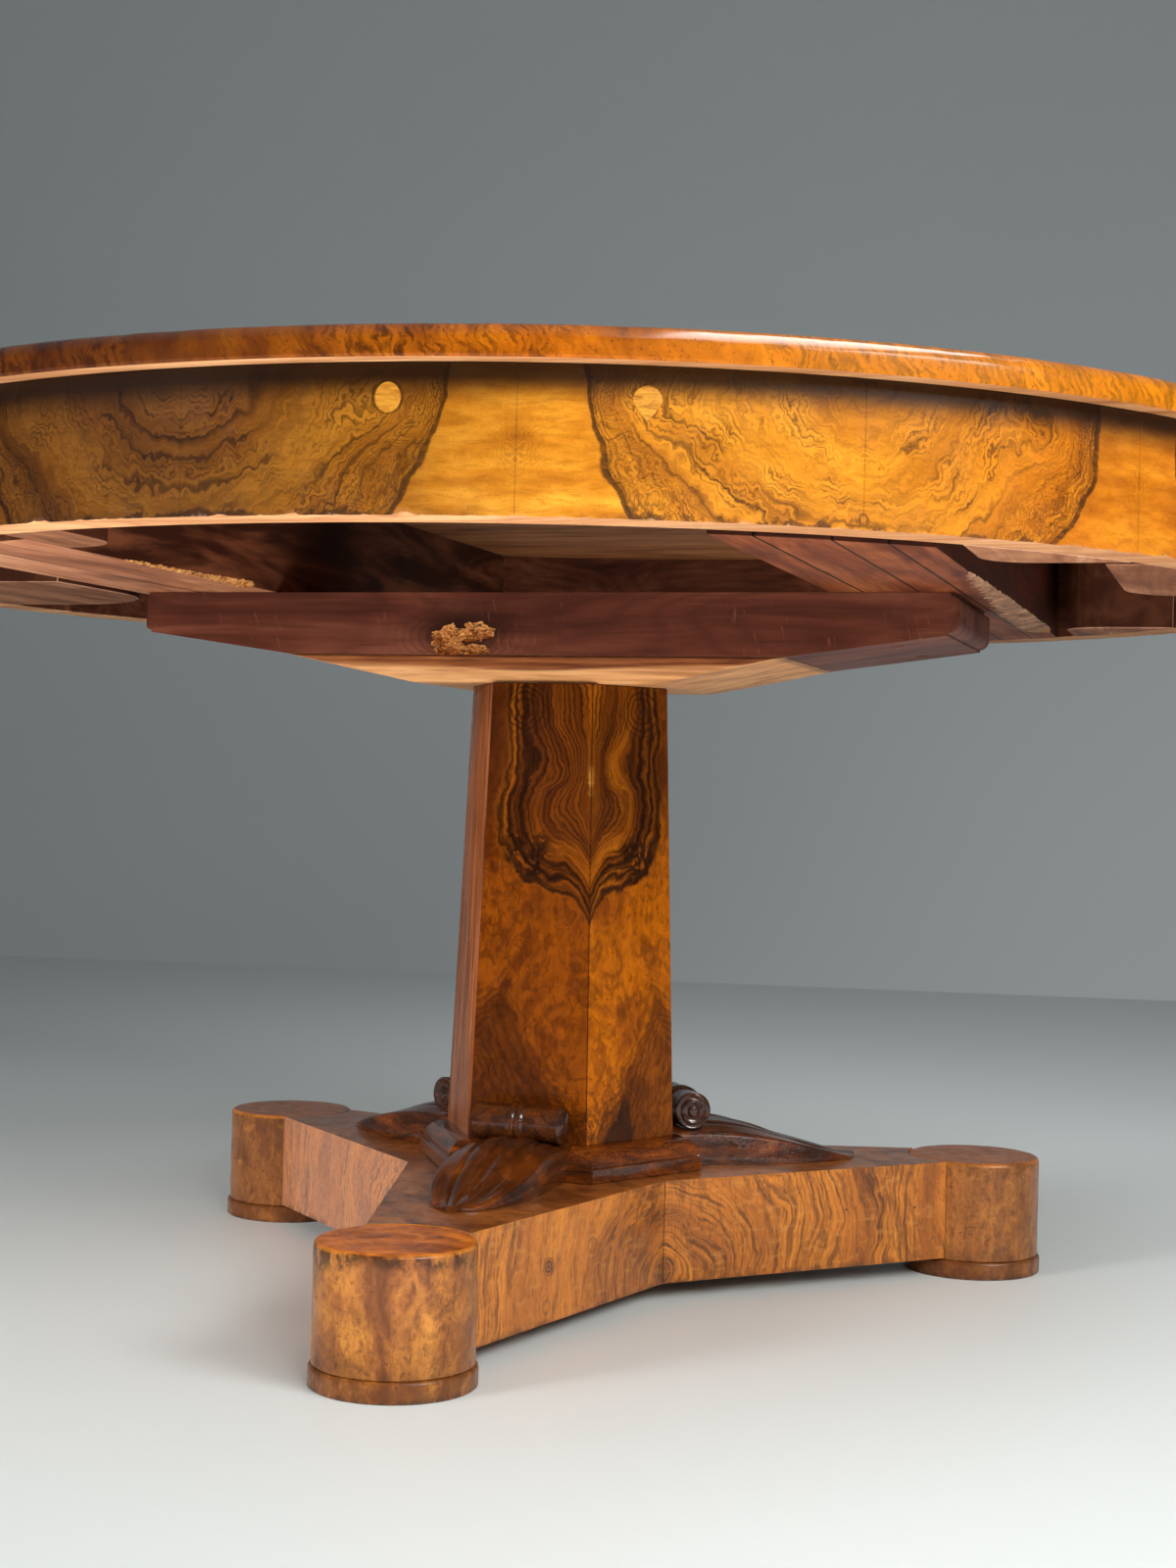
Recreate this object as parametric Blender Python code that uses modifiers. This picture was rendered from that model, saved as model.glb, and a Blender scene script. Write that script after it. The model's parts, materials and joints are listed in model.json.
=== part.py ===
"""Walnut centre table: a round top with a deep frieze, on a six-sided tapered column that stands on
a three-cornered base with drum feet. Metres, +Z up, origin on the floor under the column."""
import math

import bmesh
import bpy
from mathutils import Vector

# Overall sizes
TABLE_HEIGHT = 0.770
BASE_HEIGHT = 0.112
FIT = 0.0003  # clearance between neighbouring pieces
ROUND_FACETS = 96  # facets in a full turn of the top and the frieze
TURNED_FACETS = 40  # facets in a full turn of a turned piece

# Round top
TOP_RADIUS = 0.700
TOP_THICKNESS = 0.0235
TOP_ROUNDING = 0.009
TOP_LOWER_CHAMFER = 0.0015
LIPPING_WIDTH = 0.030
LIPPING_COUNT = 4
VENEER_THICKNESS = 0.0025
TOP_BOARD_COUNT = 4

# Frieze under the top
TOP_OVERHANG = 0.020  # of the top past the frieze
FRIEZE_HEIGHT = 0.1025
FRIEZE_WALL = 0.040
FRIEZE_COUNT = 8
FRIEZE_JOINT_ANGLE = 33.75  # degrees from the front, towards +X
PLUG_RADIUS = 0.010
PLUG_DEPTH = 0.022
PLUG_DROP = 0.0235  # below the top of the frieze
PLUG_LEFT_ANGLE = 6.4
PLUG_RIGHT_ANGLE = 21.0

# Bearers that cross over the block
BEARER_INNER = 0.265  # inner side, from the middle of the table
BEARER_STRIP = 0.030
BEARER_MIDDLE_BOARD = 0.050
BEARER_OUTER_BOARD = 0.066
BEARER_FRONT_GAP = 0.030  # left open between the bearers' front ends and the frieze

# Glue blocks inside the frieze
CORNER_BLOCK_WIDTH = 0.060
CORNER_BLOCK_LENGTH = 0.092
CORNER_BLOCK_ROUNDING = 0.058
OUTER_BLOCK_OFFSET = 0.020  # from the bearer's side
OUTER_BLOCK_SPACING = 0.015  # from the side block
OUTER_BLOCK_ROUNDING = 0.040
RIGHT_BLOCK_DEPTH = 0.120  # inwards from the frieze
RIGHT_BLOCK_FRONT_ANGLE = 30.5  # degrees along the frieze from +X, towards the front
RIGHT_BLOCK_BACK_ANGLE = 4.0
RIGHT_BLOCK_ROUNDING = 0.060
LEFT_BLOCK_OFFSET = 0.024  # from the bearer's side
LEFT_BLOCK_FRONT_ANGLE = 18.0  # degrees along the frieze from -X, towards the front
LEFT_BLOCK_BACK_ANGLE = -5.5
LEFT_BLOCK_ROUNDING = 0.130

# Cross block between column and bearers
BLOCK_HALF_LENGTH = 0.3915
BLOCK_SHIFT = -0.0125  # the block lies a little to the left of the column
BLOCK_SETBACK = 0.028  # and its middle line behind the column's axis
BLOCK_HALF_DEPTH = 0.118
BLOCK_THICKNESS = 0.0825
BLOCK_UPPER_BOARD = 0.0575
BLOCK_END_THICKNESS = 0.0365
BLOCK_CORNER_ROUNDING = 0.012
BLOCK_END_ROUNDING = 0.006
LOWER_BOARD_HALF_LENGTH = 0.2385
LOWER_BOARD_FLAT = 0.118
LOWER_BOARD_EDGE = 0.0125  # height of its upright edge, above the chamfer
LOWER_BOARD_CHAMFER = 0.014

# Screws up through the block into the bearers
SCREW_SETOUT = 0.075  # to each side of the block's middle line
SCREW_SHANK_RADIUS = 0.0030
SCREW_HEAD_RADIUS = 0.0065
SCREW_HEAD_HEIGHT = 0.0040
SCREW_POINT = 0.006
SCREW_BITE = 0.038  # length in the bearer
SCREW_RECESS = 0.002

# Six-sided column
COLUMN_FOOT_RADIUS = 0.1133  # over the corners
COLUMN_HEAD_RADIUS = 0.0961
COLUMN_BOARD = 0.024
POST_RADIUS = 0.040
TENON_RADIUS = 0.025
TENON_SETBACK = 0.004  # tenon ends stop short of the far face

# Collar moulding round the foot of the column
COLLAR_RADIUS = 0.140  # over the corners
COLLAR_HEIGHT = 0.031
COLLAR_BAND = 0.013
COLLAR_LEDGE = 0.004
COLLAR_ROLL_STEPS = 5

# Carved leaves and rolls
LEAF_TIP_RADIUS = 0.296
LEAF_WIDTH = 0.089
LEAF_CREST = 0.042
LEAF_TIP_HEIGHT = 0.0045
LEAF_FLANK = 0.030
LEAF_CREST_END = 0.18  # share of the leaf's length before it falls
LEAF_PARALLEL = 0.45  # share of the leaf's length before it narrows
LEAF_TIP_SHARE = 0.10  # width left at the tip, as a share of the full width
ROLL_RADIUS = 0.0172
ROLL_BEAD_RADIUS = 0.0190
ROLL_BEAD_WIDTH = 0.0075
ROLL_LENGTH = 0.082
ROLL_HEIGHT = 0.0515  # middle of the roll above the base
ROLL_STANDOFF = 0.005  # from the column

# Three-cornered base
FOOT_DISTANCE = 0.4233
ARM_LIFT = 0.0187
ARM_HALF_WIDTH = 0.0322  # at the foot's middle
CORNER_DISTANCE = 0.1434  # inner corner between two arms
ARM_TENON_WIDTH = 0.030
ARM_TENON_HEIGHT = 0.050
ARM_TENON_LENGTH = 0.032

# Feet
DRUM_RADIUS = 0.064
DRUM_ROUNDING = 0.003
RING_RADIUS = 0.0663
RING_HEIGHT = 0.017
RING_ROUNDING = 0.003
SPIGOT_RADIUS = 0.018
SPIGOT_LENGTH = 0.013

# Levels that follow from the sizes above
TOP_UNDERSIDE = TABLE_HEIGHT - TOP_THICKNESS
FRIEZE_BOTTOM = TOP_UNDERSIDE - FRIEZE_HEIGHT
BLOCK_TOP = FRIEZE_BOTTOM - FIT
BLOCK_SEAM = BLOCK_TOP - BLOCK_UPPER_BOARD
BLOCK_BOTTOM = BLOCK_TOP - BLOCK_THICKNESS
COLUMN_TOP = BLOCK_BOTTOM - FIT
COLUMN_BOTTOM = BASE_HEIGHT + FIT
FRIEZE_RADIUS = TOP_RADIUS - TOP_OVERHANG
FRIEZE_INNER = FRIEZE_RADIUS - FRIEZE_WALL
LIPPING_INNER = TOP_RADIUS - LIPPING_WIDTH
INSIDE_FACETS = math.cos(math.pi / ROUND_FACETS)  # a faceted bore is this much narrower at its flats
INSIDE_TURNED = math.cos(math.pi / TURNED_FACETS)
SIXTH = math.radians(60)
THIRD = math.radians(120)
HEX_APOTHEM = math.cos(SIXTH / 2)

FOOT_NAMES = ("front", "right", "left")


def clear_scene():
    for old in list(bpy.data.objects):
        bpy.data.objects.remove(old, do_unlink=True)


def new_collection(name):
    made = bpy.data.collections.new(name)
    bpy.context.scene.collection.children.link(made)
    return made


clear_scene()
PARTS = new_collection("centre_table")
CUTTERS = new_collection("centre_table_cutters")


def new_material(name, colour, roughness, metallic=0.0):
    made = bpy.data.materials.new(name)
    made.use_nodes = True
    shader = made.node_tree.nodes["Principled BSDF"]
    shader.inputs["Base Color"].default_value = (*colour, 1.0)
    shader.inputs["Roughness"].default_value = roughness
    shader.inputs["Metallic"].default_value = metallic
    return made


FRIEZE_WALNUT = new_material("frieze_walnut", (0.48, 0.22, 0.05), 0.28)
TOP_WALNUT = new_material("top_walnut", (0.42, 0.16, 0.04), 0.22)
COLUMN_WALNUT = new_material("column_walnut", (0.26, 0.09, 0.02), 0.28)
BASE_WALNUT = new_material("base_walnut", (0.36, 0.15, 0.05), 0.35)
FOOT_WALNUT = new_material("foot_walnut", (0.34, 0.15, 0.05), 0.35)
CARVED_WALNUT = new_material("carved_walnut", (0.09, 0.03, 0.01), 0.18)
STAINED_BEECH = new_material("stained_beech", (0.12, 0.05, 0.03), 0.55)
PALE_BEECH = new_material("pale_beech", (0.40, 0.22, 0.12), 0.60)
SOFTWOOD = new_material("softwood", (0.30, 0.16, 0.09), 0.70)
PLUG_WOOD = new_material("plug_wood", (0.55, 0.30, 0.10), 0.35)
IRON = new_material("iron", (0.20, 0.18, 0.17), 0.50, 1.0)


def add_part(name, mesh, material, parent, turn=0.0):
    """One named piece, turned about the column's axis under its parent."""
    made = bpy.data.objects.new(name, mesh)
    made.data.materials.clear()
    made.data.materials.append(material)
    made.parent = parent
    made.rotation_euler.z = turn
    PARTS.objects.link(made)
    return made


def add_cutter(name, mesh, parent, turn=0.0):
    made = bpy.data.objects.new(name, mesh)
    made.parent = parent
    made.rotation_euler.z = turn
    made.hide_render = True
    made.display_type = "WIRE"
    CUTTERS.objects.link(made)
    return made


def add_axis(name, turn=0.0, parent=None):
    """Empty on the column's axis that carries what is repeated round the table."""
    made = bpy.data.objects.new(name, None)
    made.rotation_euler.z = turn
    made.parent = parent
    PARTS.objects.link(made)
    return made


def boolean(target, tool, operation="DIFFERENCE"):
    modifier = target.modifiers.new(tool.name, "BOOLEAN")
    modifier.object = tool
    modifier.operation = operation
    modifier.solver = "EXACT"


def finish_mesh(bm, name):
    bmesh.ops.recalc_face_normals(bm, faces=bm.faces)
    mesh = bpy.data.meshes.new(name)
    bm.to_mesh(mesh)
    bm.free()
    return mesh


def box_mesh(name, low, high):
    bm = bmesh.new()
    bmesh.ops.create_cube(bm, size=1.0)
    for vert in bm.verts:
        for axis in range(3):
            vert.co[axis] = high[axis] if vert.co[axis] > 0 else low[axis]
    return finish_mesh(bm, name)


def outline_mesh(name, points, low, high):
    """Solid of a flat outline between two heights, filled as a 2D curve."""
    data = bpy.data.curves.new(name, "CURVE")
    data.dimensions = "2D"
    data.fill_mode = "BOTH"
    data.extrude = (high - low) / 2
    spline = data.splines.new("POLY")
    spline.points.add(len(points) - 1)
    for target, point in zip(spline.points, points):
        target.co = (point[0], point[1], 0.0, 1.0)
    spline.use_cyclic_u = True
    curve = bpy.data.objects.new(name, data)
    bpy.context.scene.collection.objects.link(curve)
    mesh = bpy.data.meshes.new_from_object(curve.evaluated_get(bpy.context.evaluated_depsgraph_get()))
    bpy.data.objects.remove(curve, do_unlink=True)
    bm = bmesh.new()
    bm.from_mesh(mesh)
    bpy.data.meshes.remove(mesh)
    bmesh.ops.remove_doubles(bm, verts=bm.verts, dist=1e-6)
    bmesh.ops.translate(bm, verts=bm.verts, vec=(0.0, 0.0, (low + high) / 2))
    return finish_mesh(bm, name)


def rounded(points, steps=6):
    """Outline with round corners: each given point is x, y and its corner's radius."""
    outline = []
    for index, (x, y, radius) in enumerate(points):
        corner = Vector((x, y))
        if radius == 0:
            outline.append(corner)
            continue
        back = (Vector(points[index - 1][:2]) - corner).normalized()
        ahead = (Vector(points[(index + 1) % len(points)][:2]) - corner).normalized()
        half = back.angle(ahead) / 2
        centre = corner + (back + ahead).normalized() * radius / math.sin(half)
        first = corner + back * radius / math.tan(half) - centre
        last = corner + ahead * radius / math.tan(half) - centre
        start = math.atan2(first.y, first.x)
        sweep = (math.atan2(last.y, last.x) - start + math.pi) % math.tau - math.pi
        for step in range(steps + 1):
            angle = start + sweep * step / steps
            outline.append(centre + radius * Vector((math.cos(angle), math.sin(angle))))
    return outline


def disc_mesh(name, radius, low, high, facets=ROUND_FACETS):
    bm = bmesh.new()
    bmesh.ops.create_cone(
        bm, cap_ends=True, segments=facets, radius1=radius, radius2=radius, depth=high - low)
    bmesh.ops.translate(bm, verts=bm.verts, vec=(0.0, 0.0, (low + high) / 2))
    return finish_mesh(bm, name)


def spun_mesh(name, profile, start, sweep, steps):
    """Part of a ring: an outline of radius and height, spun about the column's axis."""
    bm = bmesh.new()
    across = Vector((math.sin(start), -math.cos(start), 0.0))
    face = bm.faces.new([bm.verts.new(across * radius + Vector((0, 0, z))) for radius, z in profile])
    shape = [face, *face.edges, *face.verts]
    bmesh.ops.spin(bm, geom=shape, cent=(0, 0, 0), axis=(0, 0, 1), angle=sweep, steps=steps)
    return finish_mesh(bm, name)


def turned_mesh(name, profile):
    """Wire of a turned piece's profile, from its top down its outer side."""
    bm = bmesh.new()
    verts = [bm.verts.new((radius, 0.0, z)) for radius, z in profile]
    for upper, lower in zip(verts, verts[1:]):
        bm.edges.new((upper, lower))
    mesh = bpy.data.meshes.new(name)
    bm.to_mesh(mesh)
    bm.free()
    return mesh


def turn_on_axis(target, facets=TURNED_FACETS):
    screw = target.modifiers.new("turned", "SCREW")
    screw.steps = facets
    screw.render_steps = facets
    screw.use_merge_vertices = True
    screw.merge_threshold = 1e-5
    screw.use_smooth_shade = True
    return target


def quarter_round(outer, top, radius, steps=4):
    """Points of a convex rounding from a piece's top down to its outer side."""
    points = []
    for step in range(steps + 1):
        angle = math.pi / 2 * (1 - step / steps)
        points.append((outer - radius + radius * math.cos(angle), top - radius + radius * math.sin(angle)))
    return points


def column_radius(z):
    """Distance from the column's axis to its corners at a height."""
    share = (z - COLUMN_BOTTOM) / (COLUMN_TOP - COLUMN_BOTTOM)
    return COLUMN_FOOT_RADIUS + (COLUMN_HEAD_RADIUS - COLUMN_FOOT_RADIUS) * share


def add_feet(axis, name):
    """Foot ring and foot drum at the end of one arm; returns the drum."""
    ring_profile = [(SPIGOT_RADIUS, RING_HEIGHT)]
    ring_profile += quarter_round(RING_RADIUS, RING_HEIGHT, RING_ROUNDING)
    ring_profile += [(RING_RADIUS, 0.0), (SPIGOT_RADIUS, 0.0), (SPIGOT_RADIUS, RING_HEIGHT)]
    ring = add_part(f"foot_ring_{name}", turned_mesh("foot_ring", ring_profile), FOOT_WALNUT, axis)
    drum_bottom = RING_HEIGHT + FIT
    spigot = SPIGOT_RADIUS * INSIDE_TURNED - FIT
    drum_profile = [(0.0, BASE_HEIGHT)]
    drum_profile += quarter_round(DRUM_RADIUS, BASE_HEIGHT, DRUM_ROUNDING)
    drum_profile += [(DRUM_RADIUS, drum_bottom), (spigot, drum_bottom)]
    drum_profile += [(spigot, drum_bottom - SPIGOT_LENGTH), (0.0, drum_bottom - SPIGOT_LENGTH)]
    drum = add_part(f"foot_drum_{name}", turned_mesh("foot_drum", drum_profile), FOOT_WALNUT, axis)
    for piece in (ring, drum):
        piece.location.y = -FOOT_DISTANCE
        turn_on_axis(piece)
    return drum


def tenon_box(name, clearance, back):
    """Arm tenon, which runs from inside the arm into the foot drum."""
    middle = (ARM_LIFT + BASE_HEIGHT) / 2
    half_width = ARM_TENON_WIDTH / 2 + clearance
    half_height = ARM_TENON_HEIGHT / 2 + clearance
    tip = FOOT_DISTANCE - DRUM_RADIUS + ARM_TENON_LENGTH + clearance
    low = (-half_width, -tip, middle - half_height)
    high = (half_width, -(FOOT_DISTANCE - DRUM_RADIUS - back), middle + half_height)
    return box_mesh(name, low, high)


def add_base(table):
    """Three arms mitred under the column, each with its tenon in a foot drum."""
    mitre = Vector((math.sin(SIXTH), -math.cos(SIXTH)))
    inward = Vector((-math.cos(SIXTH), -math.sin(SIXTH))) * FIT / 2
    corner = mitre * CORNER_DISTANCE + inward
    apex = Vector((0.0, -FIT / 2 / math.sin(SIXTH)))
    outline = [apex, corner, Vector((ARM_HALF_WIDTH, -FOOT_DISTANCE))]
    outline += [Vector((-point.x, point.y)) for point in reversed(outline[1:])]
    hole_radius = (TENON_RADIUS + FIT) / INSIDE_TURNED
    hole = add_cutter(
        "post_hole", disc_mesh("post_hole", hole_radius, 0.0, TABLE_HEIGHT, TURNED_FACETS), table)
    for index, name in enumerate(FOOT_NAMES):
        axis = add_axis(f"{name}_foot_axis", THIRD * index, table)
        drum = add_feet(axis, name)
        arm = add_part(
            f"base_arm_{name}", outline_mesh("base_arm", outline, ARM_LIFT, BASE_HEIGHT), BASE_WALNUT, axis)
        cope_radius = (DRUM_RADIUS + FIT) / INSIDE_TURNED
        cope_mesh = disc_mesh("drum_cope", cope_radius, 0.0, TABLE_HEIGHT, TURNED_FACETS)
        cope = add_cutter(f"drum_cope_{name}", cope_mesh, axis)
        cope.location.y = -FOOT_DISTANCE
        boolean(arm, cope)
        boolean(arm, hole)
        tenon = add_cutter(f"arm_tenon_{name}", tenon_box("arm_tenon", 0.0, ARM_TENON_LENGTH), axis)
        boolean(arm, tenon, "UNION")
        mortise = add_cutter(f"drum_mortise_{name}", tenon_box("drum_mortise", FIT, ARM_TENON_LENGTH), axis)
        boolean(drum, mortise)
        add_ornament(axis, name)


def leaf_height(share, side):
    """Height of the carved leaf above the base: share along its length, side from -1 to 1."""
    fall = min(max((share - LEAF_CREST_END) / (1 - LEAF_CREST_END), 0.0), 1.0)
    crest = LEAF_TIP_HEIGHT + (LEAF_CREST - LEAF_TIP_HEIGHT) * (1 + math.cos(math.pi * fall)) / 2
    flank = max(LEAF_FLANK * math.cos(math.pi / 2 * fall), LEAF_TIP_HEIGHT / 2)
    return flank + (crest - flank) * (1 - side * side)


def leaf_half_width(share):
    narrowing = max((share - LEAF_PARALLEL) / (1 - LEAF_PARALLEL), 0.0)
    return LEAF_WIDTH / 2 * max(math.sqrt(1 - narrowing * narrowing), LEAF_TIP_SHARE)


def leaf_mesh(root):
    """Tongue-shaped leaf on the base, crowned across and falling in an ogee to its tip."""
    rows = 14
    columns = 8
    bm = bmesh.new()
    bmesh.ops.create_grid(bm, x_segments=columns, y_segments=rows, size=1.0)
    for vert in bm.verts:
        side = vert.co.x
        share = math.sin((1 + vert.co.y) / 2 * math.pi / 2)
        reach = root + (LEAF_TIP_RADIUS - root) * share
        vert.co = (side * leaf_half_width(share), -reach, COLUMN_BOTTOM + leaf_height(share, side))
    extruded = bmesh.ops.extrude_face_region(bm, geom=bm.faces[:])
    for item in extruded["geom"]:
        if isinstance(item, bmesh.types.BMVert):
            item.co.z = COLUMN_BOTTOM
    return finish_mesh(bm, "carved_leaf")


def roll_profile():
    """Section of the roll: half from its end to its ringed middle, then the same mirrored."""
    half = ROLL_LENGTH / 2
    edge = ROLL_RADIUS / 8
    points = [(0.0, half), (ROLL_RADIUS - edge, half), (ROLL_RADIUS, half - edge)]
    bead_steps = 4
    for step in range(bead_steps + 1):
        angle = math.pi * step / bead_steps
        rise = (ROLL_BEAD_RADIUS - ROLL_RADIUS) * math.sin(angle)
        points.append((ROLL_RADIUS + rise, ROLL_BEAD_WIDTH * (1 + math.cos(angle)) / 2))
    return points + [(radius, -z) for radius, z in reversed(points[:-1])]


def add_ornament(axis, name):
    """Carved leaf on an arm and the roll that lies on it against the column."""
    roll_level = BASE_HEIGHT + ROLL_HEIGHT
    column_face = column_radius(roll_level - ROLL_BEAD_RADIUS) * HEX_APOTHEM
    roll_reach = column_face + ROLL_STANDOFF + ROLL_BEAD_RADIUS
    roll = add_part(f"carved_roll_{name}", turned_mesh("carved_roll", roll_profile()), CARVED_WALNUT, axis)
    roll.location = (0.0, -roll_reach, roll_level)
    roll.rotation_euler.y = math.pi / 2
    turn_on_axis(roll, 24)
    root = COLUMN_FOOT_RADIUS * HEX_APOTHEM + FIT
    leaf = add_part(f"carved_leaf_{name}", leaf_mesh(root), CARVED_WALNUT, axis)
    cradle_radius = (ROLL_BEAD_RADIUS + FIT) / INSIDE_TURNED
    cradle_mesh = disc_mesh("roll_cradle", cradle_radius, -LEAF_WIDTH, LEAF_WIDTH, TURNED_FACETS)
    cradle = add_cutter(f"roll_cradle_{name}", cradle_mesh, axis)
    cradle.location = roll.location
    cradle.rotation_euler.y = math.pi / 2
    boolean(leaf, cradle)


def collar_profile():
    """Section of the collar over a corner: upright band, ledge, and a rounded shoulder."""
    bottom = COLUMN_BOTTOM
    top = bottom + COLLAR_HEIGHT
    gap = FIT / HEX_APOTHEM
    inner_top = column_radius(top) + gap
    inner_bottom = column_radius(bottom) + gap
    band_top = bottom + COLLAR_BAND
    shoulder_reach = COLLAR_RADIUS - COLLAR_LEDGE - inner_top
    points = [(inner_top, top)]
    for step in range(1, COLLAR_ROLL_STEPS + 1):
        angle = math.pi / 2 * (1 - step / COLLAR_ROLL_STEPS)
        reach = inner_top + shoulder_reach * math.cos(angle)
        points.append((reach, band_top + (top - band_top) * math.sin(angle)))
    points += [(COLLAR_RADIUS, band_top), (COLLAR_RADIUS, bottom), (inner_bottom, bottom)]
    return points + [points[0]]


def add_collars(table):
    """Collar moulding, one length between each pair of leaves, mitred at the column's corners."""
    slot = LEAF_WIDTH / 2 + FIT
    reach = 2 * COLLAR_RADIUS
    between = Vector((math.sin(SIXTH), -math.cos(SIXTH)))
    start = between * slot / math.sin(SIXTH)
    first_arm = Vector((0.0, -1.0))
    second_arm = Vector((math.sin(THIRD), -math.cos(THIRD)))
    kite = [start, start + first_arm * reach, start + between * reach * 2, start + second_arm * reach]
    profile = collar_profile()
    for index, name in enumerate(("right", "back", "left")):
        collar = add_part(
            f"collar_moulding_{name}", turned_mesh("collar_moulding", profile), CARVED_WALNUT, table)
        turn_on_axis(collar, 6).modifiers["turned"].use_smooth_shade = False
        kite_mesh = outline_mesh("collar_length", kite, BASE_HEIGHT / 2, COLUMN_BOTTOM + 2 * COLLAR_HEIGHT)
        length = add_cutter(f"collar_length_{name}", kite_mesh, table, THIRD * index)
        boolean(collar, length, "INTERSECT")


def add_column(table):
    """Six tapered boards mitred at the corners, round a post tenoned into base and block."""
    for index in range(6):
        bm = bmesh.new()
        bmesh.ops.create_cube(bm, size=2.0)
        for vert in bm.verts:
            z = COLUMN_TOP if vert.co.z > 0 else COLUMN_BOTTOM
            depth = COLUMN_BOARD if vert.co.y > 0 else 0.0
            face = column_radius(z) * HEX_APOTHEM - depth
            half = face * math.tan(SIXTH / 2) - FIT / 2 / HEX_APOTHEM
            vert.co = (math.copysign(half, vert.co.x), -face, z)
        mesh = finish_mesh(bm, "column_side")
        add_part(f"column_side_{index + 1}", mesh, COLUMN_WALNUT, table, SIXTH * index)
    profile = [
        (0.0, BLOCK_TOP - TENON_SETBACK),
        (TENON_RADIUS, BLOCK_TOP - TENON_SETBACK),
        (TENON_RADIUS, COLUMN_TOP),
        (POST_RADIUS, COLUMN_TOP),
        (POST_RADIUS, COLUMN_BOTTOM),
        (TENON_RADIUS, COLUMN_BOTTOM),
        (TENON_RADIUS, ARM_LIFT + TENON_SETBACK),
        (0.0, ARM_LIFT + TENON_SETBACK),
    ]
    turn_on_axis(add_part("column_post", turned_mesh("column_post", profile), SOFTWOOD, table))


def standing_outline(name, outline, half_depth):
    """Solid of an outline drawn in X and Z, as deep as twice half_depth along Y."""
    mesh = outline_mesh(name, outline, -half_depth, half_depth)
    bm = bmesh.new()
    bm.from_mesh(mesh)
    for vert in bm.verts:
        vert.co = (vert.co.x, -vert.co.z, vert.co.y)
    bpy.data.meshes.remove(mesh)
    return finish_mesh(bm, name)


def block_underside(x):
    """Height of the upper board's underside, which rises towards the board's ends."""
    rise = BLOCK_UPPER_BOARD - BLOCK_END_THICKNESS
    share = (abs(x - BLOCK_SHIFT) - LOWER_BOARD_HALF_LENGTH) / (BLOCK_HALF_LENGTH - LOWER_BOARD_HALF_LENGTH)
    return BLOCK_SEAM + rise * max(share, 0.0)


def screw_profile(clearance, recess):
    """Countersunk wood screw, point up; its seat is the same shape with a clearance."""
    tip = SCREW_LENGTH + clearance
    points = [
        (0.0, tip),
        (SCREW_SHANK_RADIUS + clearance, tip - SCREW_POINT),
        (SCREW_SHANK_RADIUS + clearance, SCREW_HEAD_HEIGHT + clearance),
        (SCREW_HEAD_RADIUS + clearance, clearance),
    ]
    if recess > 0:
        points.append((SCREW_HEAD_RADIUS + clearance, -recess))
    return points + [(0.0, -recess)]


SCREW_X = BEARER_INNER + BEARER_STRIP + BEARER_MIDDLE_BOARD / 2
SCREW_BOTTOM = block_underside(SCREW_X + SCREW_HEAD_RADIUS) + SCREW_RECESS
SCREW_LENGTH = BLOCK_TOP + SCREW_BITE - SCREW_BOTTOM


def add_block(table):
    """Two boards of the cross block, with a hole for the post's tenon and holes for the screws."""
    half = BLOCK_HALF_LENGTH
    end = BLOCK_TOP - BLOCK_END_THICKNESS
    reach = LOWER_BOARD_HALF_LENGTH
    round_end = BLOCK_END_ROUNDING
    upper_corners = [(-half, BLOCK_TOP, round_end), (-half, end, round_end), (-reach, BLOCK_SEAM, 0)]
    upper_corners += [(-x, z, radius) for x, z, radius in reversed(upper_corners)]
    upper_outline = rounded(upper_corners)
    upper = add_part(
        "block_upper_board", standing_outline("block_upper_board", upper_outline, BLOCK_HALF_DEPTH),
        STAINED_BEECH, table)
    depth = BLOCK_HALF_DEPTH
    corners = [(-half, -depth), (half, -depth), (half, depth), (-half, depth)]
    plan = rounded([(x, y, BLOCK_CORNER_ROUNDING) for x, y in corners])
    ends = add_cutter("block_ends", outline_mesh("block_ends", plan, BASE_HEIGHT, TABLE_HEIGHT), table)
    boolean(upper, ends, "INTERSECT")
    seam = BLOCK_SEAM - FIT
    flat = LOWER_BOARD_FLAT
    edge = seam - LOWER_BOARD_EDGE
    chamfer_foot = BLOCK_HALF_DEPTH - LOWER_BOARD_CHAMFER
    lower_outline = [(-reach, seam), (-flat, BLOCK_BOTTOM), (flat, BLOCK_BOTTOM), (reach, seam)]
    lower = add_part(
        "block_lower_board", standing_outline("block_lower_board", lower_outline, BLOCK_HALF_DEPTH),
        PALE_BEECH, table)
    section = [(-depth, seam), (-depth, edge), (-chamfer_foot, BLOCK_BOTTOM)]
    section += [(-x, z) for x, z in reversed(section)]
    chamfers_mesh = standing_outline("block_chamfers", section, half)
    chamfers = add_cutter("block_chamfers", chamfers_mesh, table, math.pi / 2)
    boolean(lower, chamfers, "INTERSECT")
    for piece in (upper, lower, ends):
        piece.location = (BLOCK_SHIFT, BLOCK_SETBACK, 0.0)
    chamfers.location.y = BLOCK_SETBACK
    tenon_hole_radius = (TENON_RADIUS + FIT) / INSIDE_TURNED
    hole_mesh = disc_mesh("tenon_hole", tenon_hole_radius, BASE_HEIGHT, TABLE_HEIGHT, TURNED_FACETS)
    tenon_hole = add_cutter("tenon_hole", hole_mesh, table)
    for board in (upper, lower):
        boolean(board, tenon_hole)
    return upper


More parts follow.
